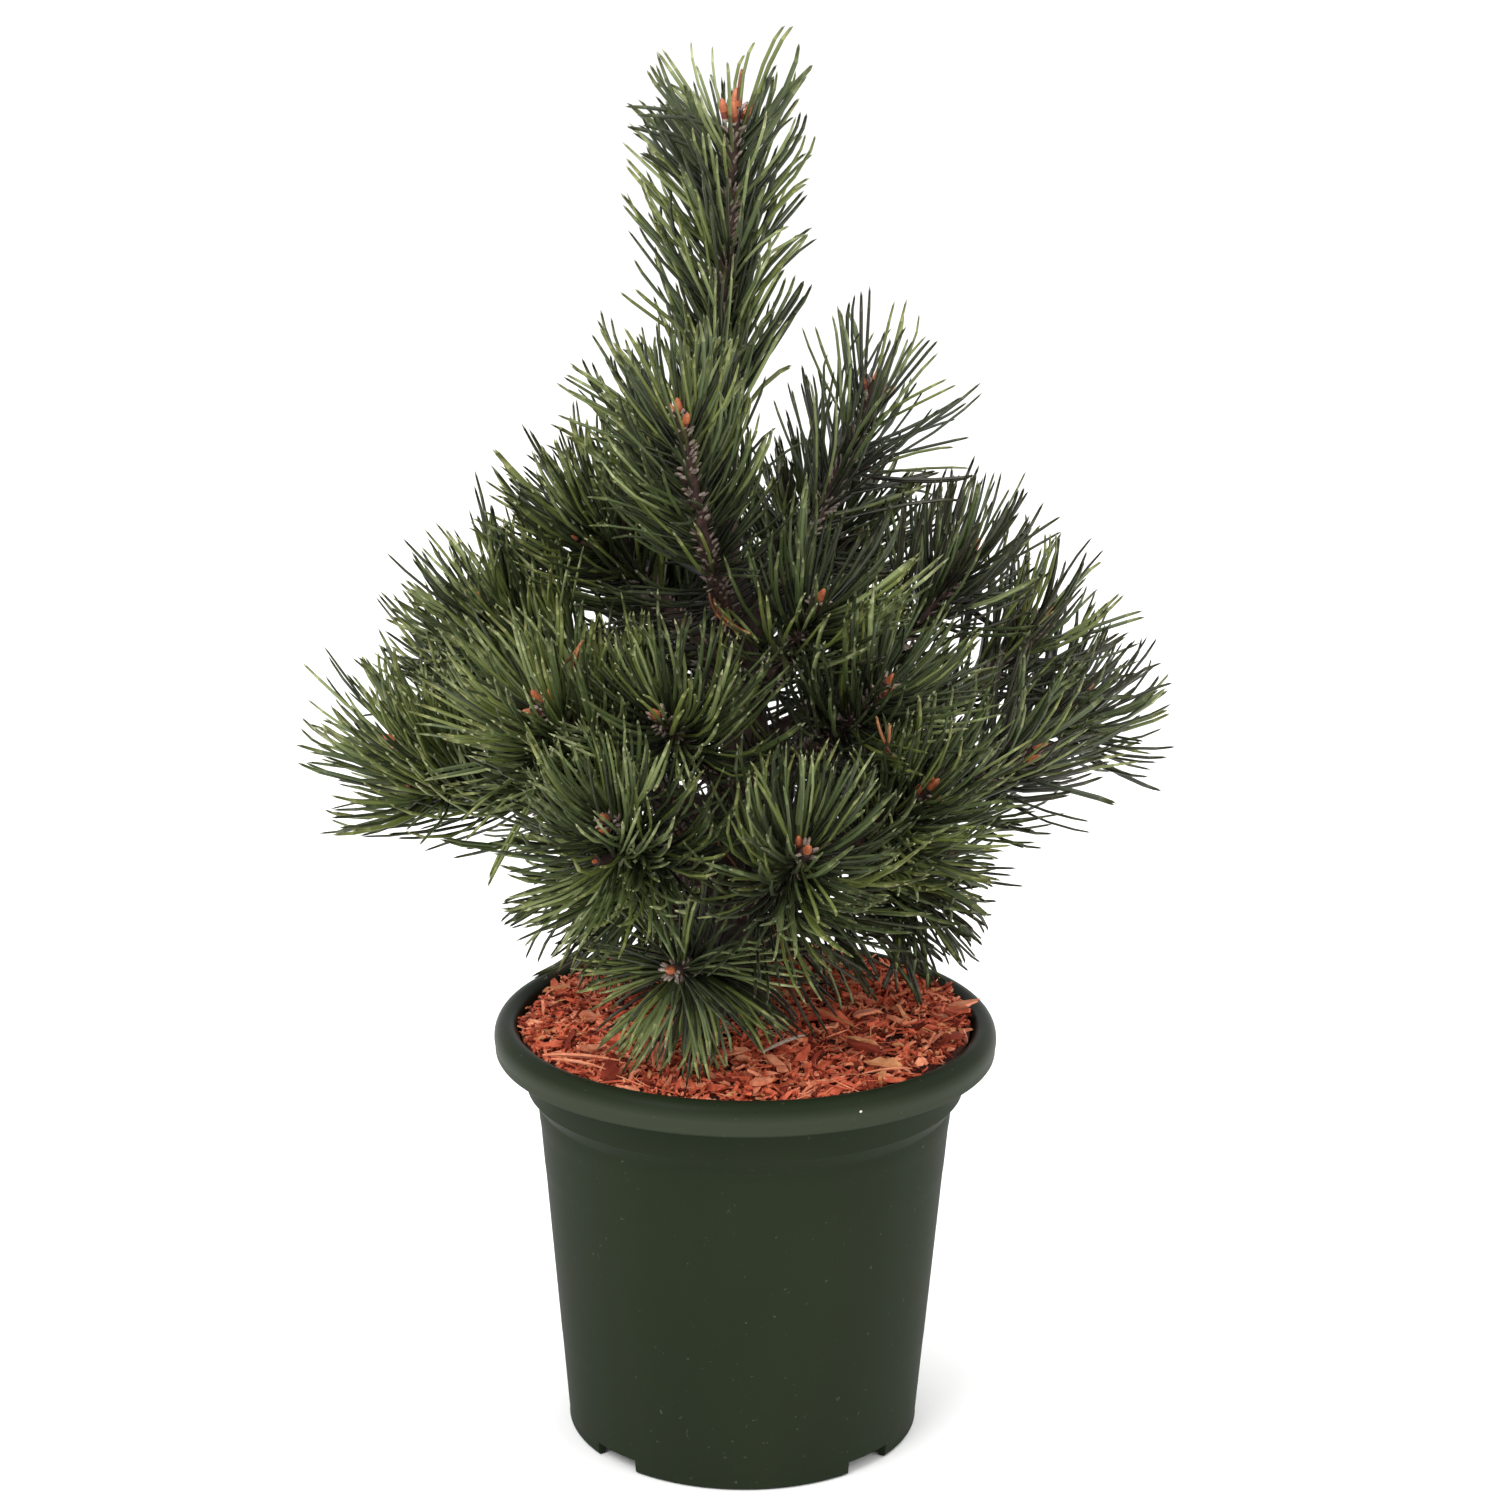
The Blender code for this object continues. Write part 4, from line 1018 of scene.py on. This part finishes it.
def hang_caught_needles(heap):
    # Each is bowed through its middle place.
    start, middle, end = CAUGHT_NEEDLES.swapaxes(0, 1)
    chord = end - start
    lengths = np.linalg.norm(chord, axis=1)
    bends = 2 * (start + end - 2 * middle) / lengths[:, None]
    sides = unit(np.cross(chord, (0.0, 1.0, 0.0)))
    add_needles(heap, needles_of(start, chord / lengths[:, None] - bends, bends, np.zeros_like(start),
                                 lengths, np.full(len(start), CAUGHT_WIDTH), sides))


# Buds: sizes at full scale, how far the first one sits in the shoot, and how far the others
# stand out and back.
MAIN_BUD = (0.0086, 0.00165)
SIDE_BUD = (0.0080, 0.00160)
BUD_SEAT = 0.0032
SIDE_BUD_OUT = 0.0026
SIDE_BUD_BACK = 0.0014
SIDE_BUD_LEAN = (10, 34)
SIDE_BUD_STAGGER = 10
LEADER_BUD_SCALE = 1.2
TWIG_BUD_SCALE = 0.7
BUD_SMOOTH_ANGLE = 50
BUD_RINGS = 15
BUD_SIDES = 12
# The overlapping scales' spiral and relief, and how far up the dark and the pale part reach.
SCALE_SPIRAL = 26
SCALE_RELIEF = 0.12
BUD_PALE_END = 0.14
BUD_DARK_END = 0.42


def add_bud(heap, tip, direction, length, radius, turn):
    # A blunt egg-shaped bud wrapped in overlapping scales, pale and then dark at its foot.
    share = np.linspace(0, 1, BUD_RINGS)
    line = tip + np.linspace(-0.12, 1.0, BUD_RINGS)[:, None] * direction * length
    radii = radius * np.sqrt(np.maximum(1 - ((share - 0.44) / 0.565) ** 2, 0.01))
    _, normals, others = frames_of(line)
    angles = turn + circle(BUD_SIDES)
    scales = np.maximum(0, np.cos(3 * angles[None, :] + share[:, None] * SCALE_SPIRAL)) * SCALE_RELIEF
    reach = radii[:, None] * (0.95 + scales * (1 - share[:, None]))
    points = line[:, None, :] + spokes(normals, others, angles) * reach[..., None]
    slots = np.select([share[:-1] < BUD_PALE_END, share[:-1] < BUD_DARK_END], [1, 2], 0)
    count = BUD_RINGS * BUD_SIDES
    heap.add(np.concatenate([points.reshape(-1, 3), [line[-1] + direction * radius * 0.12]]),
             ring_quads(BUD_RINGS, BUD_SIDES), fan(count, count - BUD_SIDES, BUD_SIDES),
             np.repeat(slots, BUD_SIDES), 0)


def add_bud_cluster(heap, line, count, rng, scale=1.0):
    # One bud at the shoot's end, and a whorl of smaller ones that lean out round it.
    direction = directions_of(line)[-1]
    tip = line[-1] - direction * BUD_SEAT
    turn = rng.uniform(0, math.tau)
    size = scale * rng.uniform(0.90, 1.05)
    add_bud(heap, tip, direction, MAIN_BUD[0] * size, MAIN_BUD[1] * size, turn)
    for number in range(count - 1):
        spin = turn + math.tau * number / (count - 1)
        outward = side_direction(direction, spin, math.pi / 2)
        angle = rng.uniform(*SIDE_BUD_LEAN) + SIDE_BUD_STAGGER * (number % 2)
        lean = side_direction(direction, spin, math.radians(angle))
        size = scale * rng.uniform(0.72, 1.0)
        foot = tip + outward * SIDE_BUD_OUT * scale - direction * SIDE_BUD_BACK
        add_bud(heap, foot, lean, SIDE_BUD[0] * size, SIDE_BUD[1] * size, turn + number)


# Pot
def arc(centre, radii, start, end, count):
    # Points on an ellipse, with the angles in degrees.
    angles = np.radians(np.linspace(start, end, count))
    return [(centre[0] + radii[0] * math.cos(a), centre[1] + radii[1] * math.sin(a)) for a in angles]


def pot_inner_radius(height):
    return FOOT_RADIUS + BODY_SLOPE * min(height, BODY_TOP) - WALL


def pot_wall(height):
    # The body's outside, with its faint moulded bands.
    radius = FOOT_RADIUS + BODY_SLOPE * height
    for band, depth in BODY_BANDS:
        radius -= depth / (1 + math.exp((height - band) / BAND_SOFTNESS)) - depth
    return radius - GAP


def pot_profile():
    # Radius and height, from the middle of the floor over the rim to the middle of the underside.
    floor_top = FLOOR_UNDERSIDE + FLOOR_THICKNESS
    inside = [(0.0, floor_top), (pot_inner_radius(floor_top) - FLOOR_FILLET, floor_top),
              (pot_inner_radius(floor_top + FLOOR_FILLET), floor_top + FLOOR_FILLET),
              (pot_inner_radius(BODY_TOP), BODY_TOP), (COLLAR_RADIUS - WALL, COLLAR_BOTTOM),
              (COLLAR_RADIUS - WALL + COLLAR_DRAFT, RIM_LIP_BOTTOM)]
    roll = arc(ROLL_CENTRE, (ROLL_HALF_WIDTH, ROLL_HALF_HEIGHT), 180, -22, 34)
    lip_centre = (RIM_RADIUS - 0.0014, RIM_LIP_BOTTOM + RIM_LIP_RADII[1])
    lip = arc(lip_centre, RIM_LIP_RADII, 0, -180, 9)
    underside = arc(ROLL_CENTRE, (ROLL_HALF_WIDTH - WALL, ROLL_HALF_HEIGHT - WALL), 0, 180, 12)
    collar = [(COLLAR_RADIUS + COLLAR_DRAFT, RIM_LIP_BOTTOM)]
    collar += arc((COLLAR_RADIUS - COLLAR_ROUNDING, COLLAR_BOTTOM + COLLAR_ROUNDING),
                  (COLLAR_ROUNDING, COLLAR_ROUNDING), 0, -45, 5)
    collar += arc((BODY_TOP_RADIUS + COLLAR_FILLET[0], BODY_TOP + 0.0016), COLLAR_FILLET, 140, 180, 5)
    body = [(pot_wall(height), height) for height in np.linspace(BODY_TOP - 0.0005, 0.0022, BODY_RINGS)]
    rounding = FOOT_ROUNDING + GAP
    foot = arc((FOOT_RADIUS - FOOT_ROUNDING - GAP, rounding), (rounding, rounding), 0, -90, 8)
    ring_inside = FOOT_RADIUS - FOOT_RING_WIDTH
    ring = [(ring_inside + GAP, 0.0), (ring_inside, GAP), (ring_inside - FOOT_RING_DRAFT, FLOOR_UNDERSIDE),
            (0.0, FLOOR_UNDERSIDE)]
    return np.array(inside + roll + lip + underside + collar + body + foot + ring)


def pot_azimuths():
    # Even steps, with a pair of close ones at each side of each notch in the foot.
    edges = [middle + side * (NOTCH_HALF_ANGLE + step)
             for middle in NOTCH_ANGLES for side in (-1, 1) for step in (0, NOTCH_SIDE)]
    even = [angle for angle in circle(POT_STEPS)
            if min(abs(angle - edge) for edge in edges) > 2 * NOTCH_SIDE]
    return np.array(sorted(even + edges))


def make_pot():
    profile = pot_profile()
    azimuths = pot_azimuths()
    from_notch = np.abs(azimuths[:, None] - NOTCH_ANGLES[None, :]).min(axis=1)
    turned = profile[1:-1, :, None]
    at_ring = turned[:, 0] > FOOT_RADIUS - FOOT_RING_WIDTH - 0.0002
    notched = at_ring & (from_notch <= NOTCH_HALF_ANGLE + 1e-6)[None, :]
    heights = np.maximum(turned[:, 1], np.where(notched, NOTCH_HEIGHT, 0))
    radii = turned[:, 0]
    points = np.stack([radii * np.cos(azimuths), radii * np.sin(azimuths), heights], axis=-1).reshape(-1, 3)
    steps = len(azimuths)
    ends = [(0, 0, profile[0, 1]), (0, 0, profile[-1, 1])]
    top = fan(len(points), 0, steps)[:, ::-1]
    bottom = fan(len(points) + 1, len(points) - steps, steps)
    heap = Heap()
    heap.add(np.concatenate([points, ends]), ring_quads(len(turned), steps)[:, ::-1],
             np.concatenate([top, bottom]))
    pot = heap.build("pot_shell", [plastic_material()])
    drill_drains(pot)
    pot.data.shade_smooth()
    pot.data.set_sharp_from_angle(angle=math.radians(POT_SMOOTH_ANGLE))
    return pot


def drill_drains(pot):
    work = bmesh.new()
    for angle in NOTCH_ANGLES:
        spot = Matrix.Translation((*polar(DRAIN_CIRCLE, angle), 0))
        bmesh.ops.create_cone(work, cap_ends=True, segments=DRAIN_SIDES, radius1=DRAIN_RADIUS,
                              radius2=DRAIN_RADIUS, depth=DRAIN_CUT_LENGTH, matrix=spot)
    mesh = bpy.data.meshes.new("drains")
    work.to_mesh(mesh)
    work.free()
    cutter = add_object("drains", mesh)
    cut = pot.modifiers.new("Drains", "BOOLEAN")
    cut.operation = "DIFFERENCE"
    cut.solver = "EXACT"
    cut.object = cutter
    bpy.context.view_layer.update()
    graph = bpy.context.evaluated_depsgraph_get()
    drilled = bpy.data.meshes.new_from_object(pot.evaluated_get(graph))
    pot.modifiers.clear()
    pot.data = drilled
    bpy.data.objects.remove(cutter)


# Mulch
def mulch_level(x, y):
    # Height of the mulch without its lumps, for a place or for arrays of them.
    share = np.minimum(np.hypot(x, y) / MULCH_RADIUS, 1.0)
    heap = MULCH_MIDDLE_TOP + (MULCH_EDGE_TOP - MULCH_MIDDLE_TOP) * share ** 2
    return heap + MULCH_SLOPE_X * x + MULCH_SLOPE_Y * y


def bed_height(x, y):
    lumps = noise.noise(Vector((x, y, 0.0)) * MULCH_LUMPS)
    crumbs = noise.noise(Vector((x, y, CRUMB_LAYER)) * MULCH_CRUMBS)
    return float(mulch_level(x, y)) + MULCH_RELIEF * lumps + CRUMB_RELIEF * crumbs - BED_DROP


def make_mulch_bed():
    # Rings of the bumpy top, without a set height, and then of the side that goes down the pot's wall.
    wall_radius = COLLAR_RADIUS - WALL - 2 * GAP
    rings = [(radius, None) for radius in np.linspace(BED_FIRST_RING, MULCH_RADIUS, BED_RINGS)]
    rings += [(MULCH_RADIUS, MULCH_SHOULDER), (wall_radius, RIM_LIP_BOTTOM - GAP),
              (wall_radius, SOIL_TOP + GAP)]
    points = []
    for radius, height in rings:
        for angle in circle(BED_SIDES):
            x, y = polar(radius, angle)
            points.append((x, y, height or bed_height(x, y)))
    count = len(points)
    points += [(0, 0, bed_height(0, 0)), (0, 0, SOIL_TOP + GAP)]
    caps = [fan(count, 0, BED_SIDES)[:, ::-1], fan(count + 1, count - BED_SIDES, BED_SIDES)]
    heap = Heap()
    heap.add(points, ring_quads(len(rings), BED_SIDES)[:, ::-1], np.concatenate(caps))
    return heap.build("mulch_bed", [plain_look("mulch_bed")])


# A chip's sections: place along it and size, then how far its width, thickness, corners, sideways
# shift, lift and place along it are off.
CHIP_SECTIONS = ((-0.5, 0.50), (-0.24, 0.96), (0.02, 1.0), (0.27, 0.90), (0.5, 0.42))
CHIP_QUADS = np.concatenate([ring_quads(5, 4), [[3, 2, 1, 0], [16, 17, 18, 19]]])
CHIP_SMOOTH_ANGLE = 40
CHIP_BOW = 0.05
CHIP_WIDTHS = (0.72, 1.2)
CHIP_THICKNESSES = (0.6, 1.25)
CHIP_SHIFT = 0.12
CHIP_LIFT = 0.26
CHIP_SLIP = 0.05
CORNER_SLIP = 0.20
CORNER_WIDTHS = (0.75, 1.1)
CORNER_THICKNESSES = (0.6, 1.2)
# How chips and fibres lie: spreads of pitch and roll, and heights over the bed.
CHIP_PITCH = 0.36
CHIP_ROLL = 0.70
CHIP_RISE = 0.0010
CHIP_RISES = (-0.0004, 0.0024)
FIBRE_LENGTHS = (0.005, 0.016)
FIBRE_RADII = (0.00018, 0.00042)
FIBRE_PITCH = 0.18
FIBRE_BOW = 0.12
FIBRE_ARCH = 0.15
FIBRE_RISE = 0.0024
FIBRE_RISES = (0, 0.0014)
FIBRE_STEPS = np.linspace(-0.5, 0.5, 5)
FIBRE_WIDTHS = np.array((0.5, 1, 1.05, 0.9, 0.35))
NAMED_FIBRE_ARCH = 0.0008


def chip(rng, length, width, thickness):
    # A torn sliver of bark: ragged sections along it, thinner at its ends.
    corners = []
    bow = rng.normal(0, CHIP_BOW) * length
    for place, size in CHIP_SECTIONS:
        half = width / 2 * size * rng.uniform(*CHIP_WIDTHS)
        thick = thickness / 2 * (0.55 + 0.45 * size) * rng.uniform(*CHIP_THICKNESSES)
        shift = rng.normal(0, width * CHIP_SHIFT)
        lift = rng.normal(0, thickness * CHIP_LIFT) + bow * (0.25 - place * place) * 4
        middle = length * (place + rng.uniform(-CHIP_SLIP, CHIP_SLIP))
        for across, up in ((-1, -1), (1, -1), (1, 1), (-1, 1)):
            corners.append((middle + rng.normal(0, width * CORNER_SLIP),
                            shift + across * half * rng.uniform(*CORNER_WIDTHS),
                            lift + up * thick * rng.uniform(*CORNER_THICKNESSES)))
    return np.array(corners)


def rotation(yaw, pitch, roll):
    turn = Matrix.Rotation(yaw, 3, "Z") @ Matrix.Rotation(pitch, 3, "Y") @ Matrix.Rotation(roll, 3, "X")
    return np.array(turn)


def keep_in_rim(points):
    # Moves a chip or splinter inwards where it would reach into the rim, and lets high ones lean on it.
    radii = np.hypot(points[:, 0], points[:, 1])
    room = MULCH_RADIUS + np.clip((points[:, 2] - RIM_LEAN_START) * RIM_LEAN_SLOPE, 0, RIM_LEAN)
    over = (radii - room).max()
    if over > 0:
        furthest = points[(radii - room).argmax(), :2]
        points[:, :2] -= furthest / np.hypot(*furthest) * over
    return points


def scatter_chips(heaps, rng):
    trunk_foot, _ = trunk_point(RIM_TOP)
    kind_shares = [kind.share for kind in CHIP_KINDS]
    for _ in range(CHIP_COUNT):
        kind = CHIP_KINDS[rng.choice(len(CHIP_KINDS), p=kind_shares)]
        azimuth = rng.uniform(0, math.tau)
        x, y = polar((MULCH_RADIUS - 0.001) * math.sqrt(rng.random()), azimuth)
        if math.hypot(x - trunk_foot[0], y - trunk_foot[1]) < TRUNK_CLEARANCE:
            continue
        shape = chip(rng, rng.uniform(*kind.length), rng.uniform(*kind.width), rng.uniform(*kind.thickness))
        turn = rotation(rng.uniform(0, math.tau), rng.normal(0, CHIP_PITCH), rng.normal(0, CHIP_ROLL))
        lift = bed_height(x, y) + CHIP_RISE + rng.uniform(*CHIP_RISES)
        points = keep_in_rim(shape @ turn.T + np.array((x, y, lift)))
        tone = rng.choice(tuple(CHIP_TONES), p=tuple(CHIP_TONES.values()))
        heaps[tone].add(points, CHIP_QUADS)
    for x, y, z, length, width, thickness, yaw, pitch, roll, tone in NAMED_CHIPS:
        turn = rotation(*np.radians((yaw, pitch, roll)))
        heaps[tone].add(chip(rng, length, width, thickness) @ turn.T + np.array((x, y, z)), CHIP_QUADS)


def add_splinter(heap, line, radius):
    _, normals, others = frames_of(line)
    outward = spokes(normals, others, circle(3))
    points = line[:, None, :] + outward * (radius * FIBRE_WIDTHS)[:, None, None]
    heap.add(points.reshape(-1, 3), ring_quads(5, 3), [(2, 1, 0), (12, 13, 14)])


def scatter_fibres(heaps, rng):
    # Thin curved splinters, some of them reaching up out of the mulch.
    for _ in range(FIBRE_COUNT):
        radius = MULCH_RADIUS * 0.97 * math.sqrt(rng.random())
        x, y = polar(radius, rng.uniform(0, math.tau))
        length = rng.uniform(*FIBRE_LENGTHS)
        turn = rotation(rng.uniform(0, math.tau), rng.normal(0, FIBRE_PITCH), 0)
        bow = rng.normal(0, FIBRE_BOW)
        arch = FIBRE_ARCH * abs(bow) * length * (0.25 - FIBRE_STEPS ** 2)
        line = np.stack([FIBRE_STEPS * length, bow * length * (FIBRE_STEPS ** 2 - 0.25), arch], -1) @ turn.T
        lift = bed_height(x, y) + FIBRE_RISE + rng.uniform(*FIBRE_RISES)
        line = keep_in_rim(line + np.array((x, y, lift)))
        tone = rng.choice(tuple(FIBRE_TONES), p=tuple(FIBRE_TONES.values()))
        add_splinter(heaps[tone], line, rng.uniform(*FIBRE_RADII))
    for start, end, radius, tone in NAMED_FIBRES:
        start = np.array(start)
        line = start + (np.array(end) - start) * (FIBRE_STEPS[:, None] + 0.5)
        line[:, 2] += NAMED_FIBRE_ARCH * (1 - 4 * FIBRE_STEPS ** 2)
        add_splinter(heaps[tone], line, radius)


def add_rim_fleck(heap):
    # A small pale splash on the front of the rim, a little proud of its roll.
    azimuth, height, radius = RIM_FLECK
    out = heading(azimuth, 0)
    across = heading(azimuth + 90, 0)
    angles = circle(FLECK_SIDES)
    rise = height - ROLL_CENTRE[1] + radius * 0.8 * np.sin(angles)
    reach = ROLL_CENTRE[0] + ROLL_HALF_WIDTH * np.sqrt(1 - (rise / ROLL_HALF_HEIGHT) ** 2) + 0.00012
    ring = out * reach[:, None] + across * (radius * np.cos(angles))[:, None]
    ring[:, 2] = ROLL_CENTRE[1] + rise
    middle = ring.mean(axis=0) + out * 0.0002
    heap.add(np.concatenate([ring, [middle]]), triangles=fan(FLECK_SIDES, 0, FLECK_SIDES, flip=True))


# Stage
def make_stage():
    mesh = bpy.data.meshes.new("floor")
    corners = np.array(((-1, -1, 0), (1, -1, 0), (1, 1, 0), (-1, 1, 0))) * FLOOR_HALF_SIDE
    mesh.from_pydata(corners.tolist(), [], [(0, 1, 2, 3)])
    floor = add_object("floor", mesh)
    floor.location.z = -FLOOR_DROP
    mesh.materials.append(organic("pale_floor", FLOOR_LOOK, FLOOR_COLOURS))
    world = bpy.data.worlds.new("studio")
    world.use_nodes = True
    background = world.node_tree.nodes["Background"]
    feed(world.node_tree, background, {"Color": (1.0, 1.0, 1.0, 1.0), "Strength": WORLD_STRENGTH})
    bpy.context.scene.world = world
    for name, place, size, power in LIGHTS:
        light = bpy.data.lights.new(name, "AREA")
        light.shape = "DISK"
        light.size = size
        light.energy = power
        lamp = add_object(name, light)
        lamp.location = place
        lamp.rotation_euler = (LIGHT_AIM - Vector(place)).to_track_quat("-Z", "Y").to_euler()


def make_camera():
    data = bpy.data.cameras.new("camera")
    data.sensor_width = SENSOR
    data.lens = FOCAL_PIXELS / PHOTO_SIDE * SENSOR
    data.clip_end = 100
    camera = add_object("camera", data)
    turn = (Matrix.Rotation(-CAMERA_YAW, 4, "Z") @ Matrix.Rotation(math.pi / 2 - CAMERA_PITCH, 4, "X")
            @ Matrix.Rotation(CAMERA_ROLL, 4, "Z"))
    camera.matrix_world = Matrix.Translation((0, -CAMERA_DISTANCE, CAMERA_HEIGHT)) @ turn
    bpy.context.scene.camera = camera


# Pieces
def settle(piece, slot_name, *nodes):
    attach(piece, "root")
    if nodes:
        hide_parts(*nodes)


def dress_root_ball():
    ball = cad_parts["root_ball"]
    ball.data.materials.clear()
    ball.data.materials.append(plain_look("potting_soil"))


def make_mulch():
    settle(make_mulch_bed(), "mulch", "mulch")
    rng = np.random.default_rng(11)
    heaps = {tone: Heap() for tone in CHIP_COLOURS}
    scatter_chips(heaps, rng)
    scatter_fibres(heaps, rng)
    add_rim_fleck(heaps["pale"])
    for tone, colours in CHIP_COLOURS.items():
        material = organic("bark_" + tone, CHIP_LOOK, linear(*colours))
        settle(heaps[tone].build("mulch_chips_" + tone, [material], CHIP_SMOOTH_ANGLE), "mulch")


def make_trunk():
    # Returns its places and radii.
    heights = np.linspace(TRUNK[0].height, TRUNK[-1].height, TRUNK_RINGS)
    places, radii = map(np.array, zip(*map(trunk_point, heights)))
    radii -= fade(heights, TRUNK[-2].height, TRUNK[-1].height) * TRUNK_END_TAPER
    heap = Heap()
    tube(heap, places, radii, TRUNK_SIDES, old_bark, closed_foot=True)
    settle(heap.build("trunk_bark_mesh", [plain_look("trunk_bark")]), "bark", "trunk")
    return places, radii


Shoot = namedtuple("Shoot", "name line twigs buds habit bough trunk_radius")


def make_limbs():
    # The trunk and the boughs, and the leafy shoots that go on from them.
    limbs = [dense(*make_trunk())]
    heap = Heap()
    shoots = [Shoot("leader", leader_line(), 0, LEADER_BUDS, LEADER_HABIT, None, 0.0)]
    for bough in BOUGHS:
        own, shoot = split_limb(bough)
        radii = np.linspace(BOUGH_ROOT_RADIUS, BOUGH_TIP_RADIUS, len(own))
        _, trunk_radius = trunk_point(bough.start)
        outside = np.maximum(0, lengths_of(own) - trunk_radius)
        collar = BOUGH_COLLAR * np.exp(-outside / BOUGH_COLLAR_FADE)
        tube(heap, own, radii + collar, BOUGH_SIDES, young_bark)
        limbs.append(dense(own, radii))
        habit = HABITS.get(bough.name, SIDE_HABIT)
        shoots.append(Shoot(bough.name, shoot, bough.twigs, bough.buds, habit, own, trunk_radius))
    bough_names = [bough.name + "_bough" for bough in BOUGHS]
    settle(heap.build("bough_bark", [plain_look("twig_bark")]), "bark", *bough_names)
    return shoots, limbs


def grow_mass(spray, shoot, bark, buds):
    # A shoot, its side twigs and the needles left on its bough.
    line, last = shoot.line, spray.habit.last
    total = lengths_of(line)[-1]
    radii = np.linspace(BOUGH_TIP_RADIUS, SHOOT_TIP_RADIUS, len(line))
    tube(bark, line, radii, SHOOT_SIDES, young_bark)
    dress(spray, line, radii, BARE_SHOOT_FOOT, total - last, 0, BARE_FRONTS.get(shoot.name, 0.0),
          SWEEPS.get(shoot.name, (0, 0)))
    add_stubs(spray, line, radii, 0, total)
    add_bud_cluster(buds, line, shoot.buds, spray.rng, 1.0 if shoot.bough is not None else LEADER_BUD_SCALE)
    # Shoots at the back have one twig more.
    finer = 1 if line[-1][1] > 0 else 0
    for twig in side_twigs(line, shoot.twigs + finer, spray.space, spray.rng):
        twig_radii = np.linspace(TWIG_RADIUS, TWIG_RADIUS * TWIG_TIP_SHARE, len(twig))
        tube(bark, twig, twig_radii, TWIG_SIDES, young_bark)
        dress(spray, twig, twig_radii, BARE_SHOOT_FOOT, lengths_of(twig)[-1] - last)
        add_bud_cluster(buds, twig, 1, spray.rng, TWIG_BUD_SCALE)
    if shoot.bough is not None:
        own_radii = np.linspace(BOUGH_ROOT_RADIUS, BOUGH_TIP_RADIUS, len(shoot.bough))
        reach = lengths_of(shoot.bough)[-1]
        start = shoot.trunk_radius + (reach - shoot.trunk_radius) * BARE_BOUGH_SHARE
        dress(spray, shoot.bough, own_radii, start, reach, 1)
        add_stubs(spray, shoot.bough, own_radii, start, reach)


def make_foliage(shoots, limbs):
    heaps = {tone: Heap() for tone in TONES + ("sheath",)}
    bark, buds = Heap(), Heap()
    stems = [dense(shoot.line, np.zeros(len(shoot.line)))[0] for shoot in shoots]
    for number, shoot in enumerate(shoots):
        rng = np.random.default_rng(100 + number)
        space = Space(stems[number], np.concatenate(stems[:number] + stems[number + 1:]), limbs)
        grow_mass(Spray(rng, space, heaps, shade_of(shoot.line[-1]), shoot.habit), shoot, bark, buds)
    hang_caught_needles(heaps["dead"])
    mass_names = [shoot.name + "_foliage" for shoot in shoots]
    settle(bark.build("shoot_bark", [plain_look("twig_bark")]), "bark", *mass_names)
    bud_looks = [plain_look(name) for name in ("bud_scales", "bud_resin", "bud_foot")]
    settle(buds.build("buds", bud_looks, BUD_SMOOTH_ANGLE), "bark")
    settle(heaps["sheath"].build("needle_sheaths_1", [plain_look("needle_sheath")]), "bark")
    for tone in TONES:
        settle(heaps[tone].build(f"needles_{tone}_1", needle_materials(tone)), "needles", *mass_names)


def main():
    make_stage()
    make_camera()
    dress_root_ball()
    settle(make_pot(), "pot", "pot")
    make_mulch()
    make_foliage(*make_limbs())


main()
bpy.context.scene.view_settings.view_transform = "Standard"
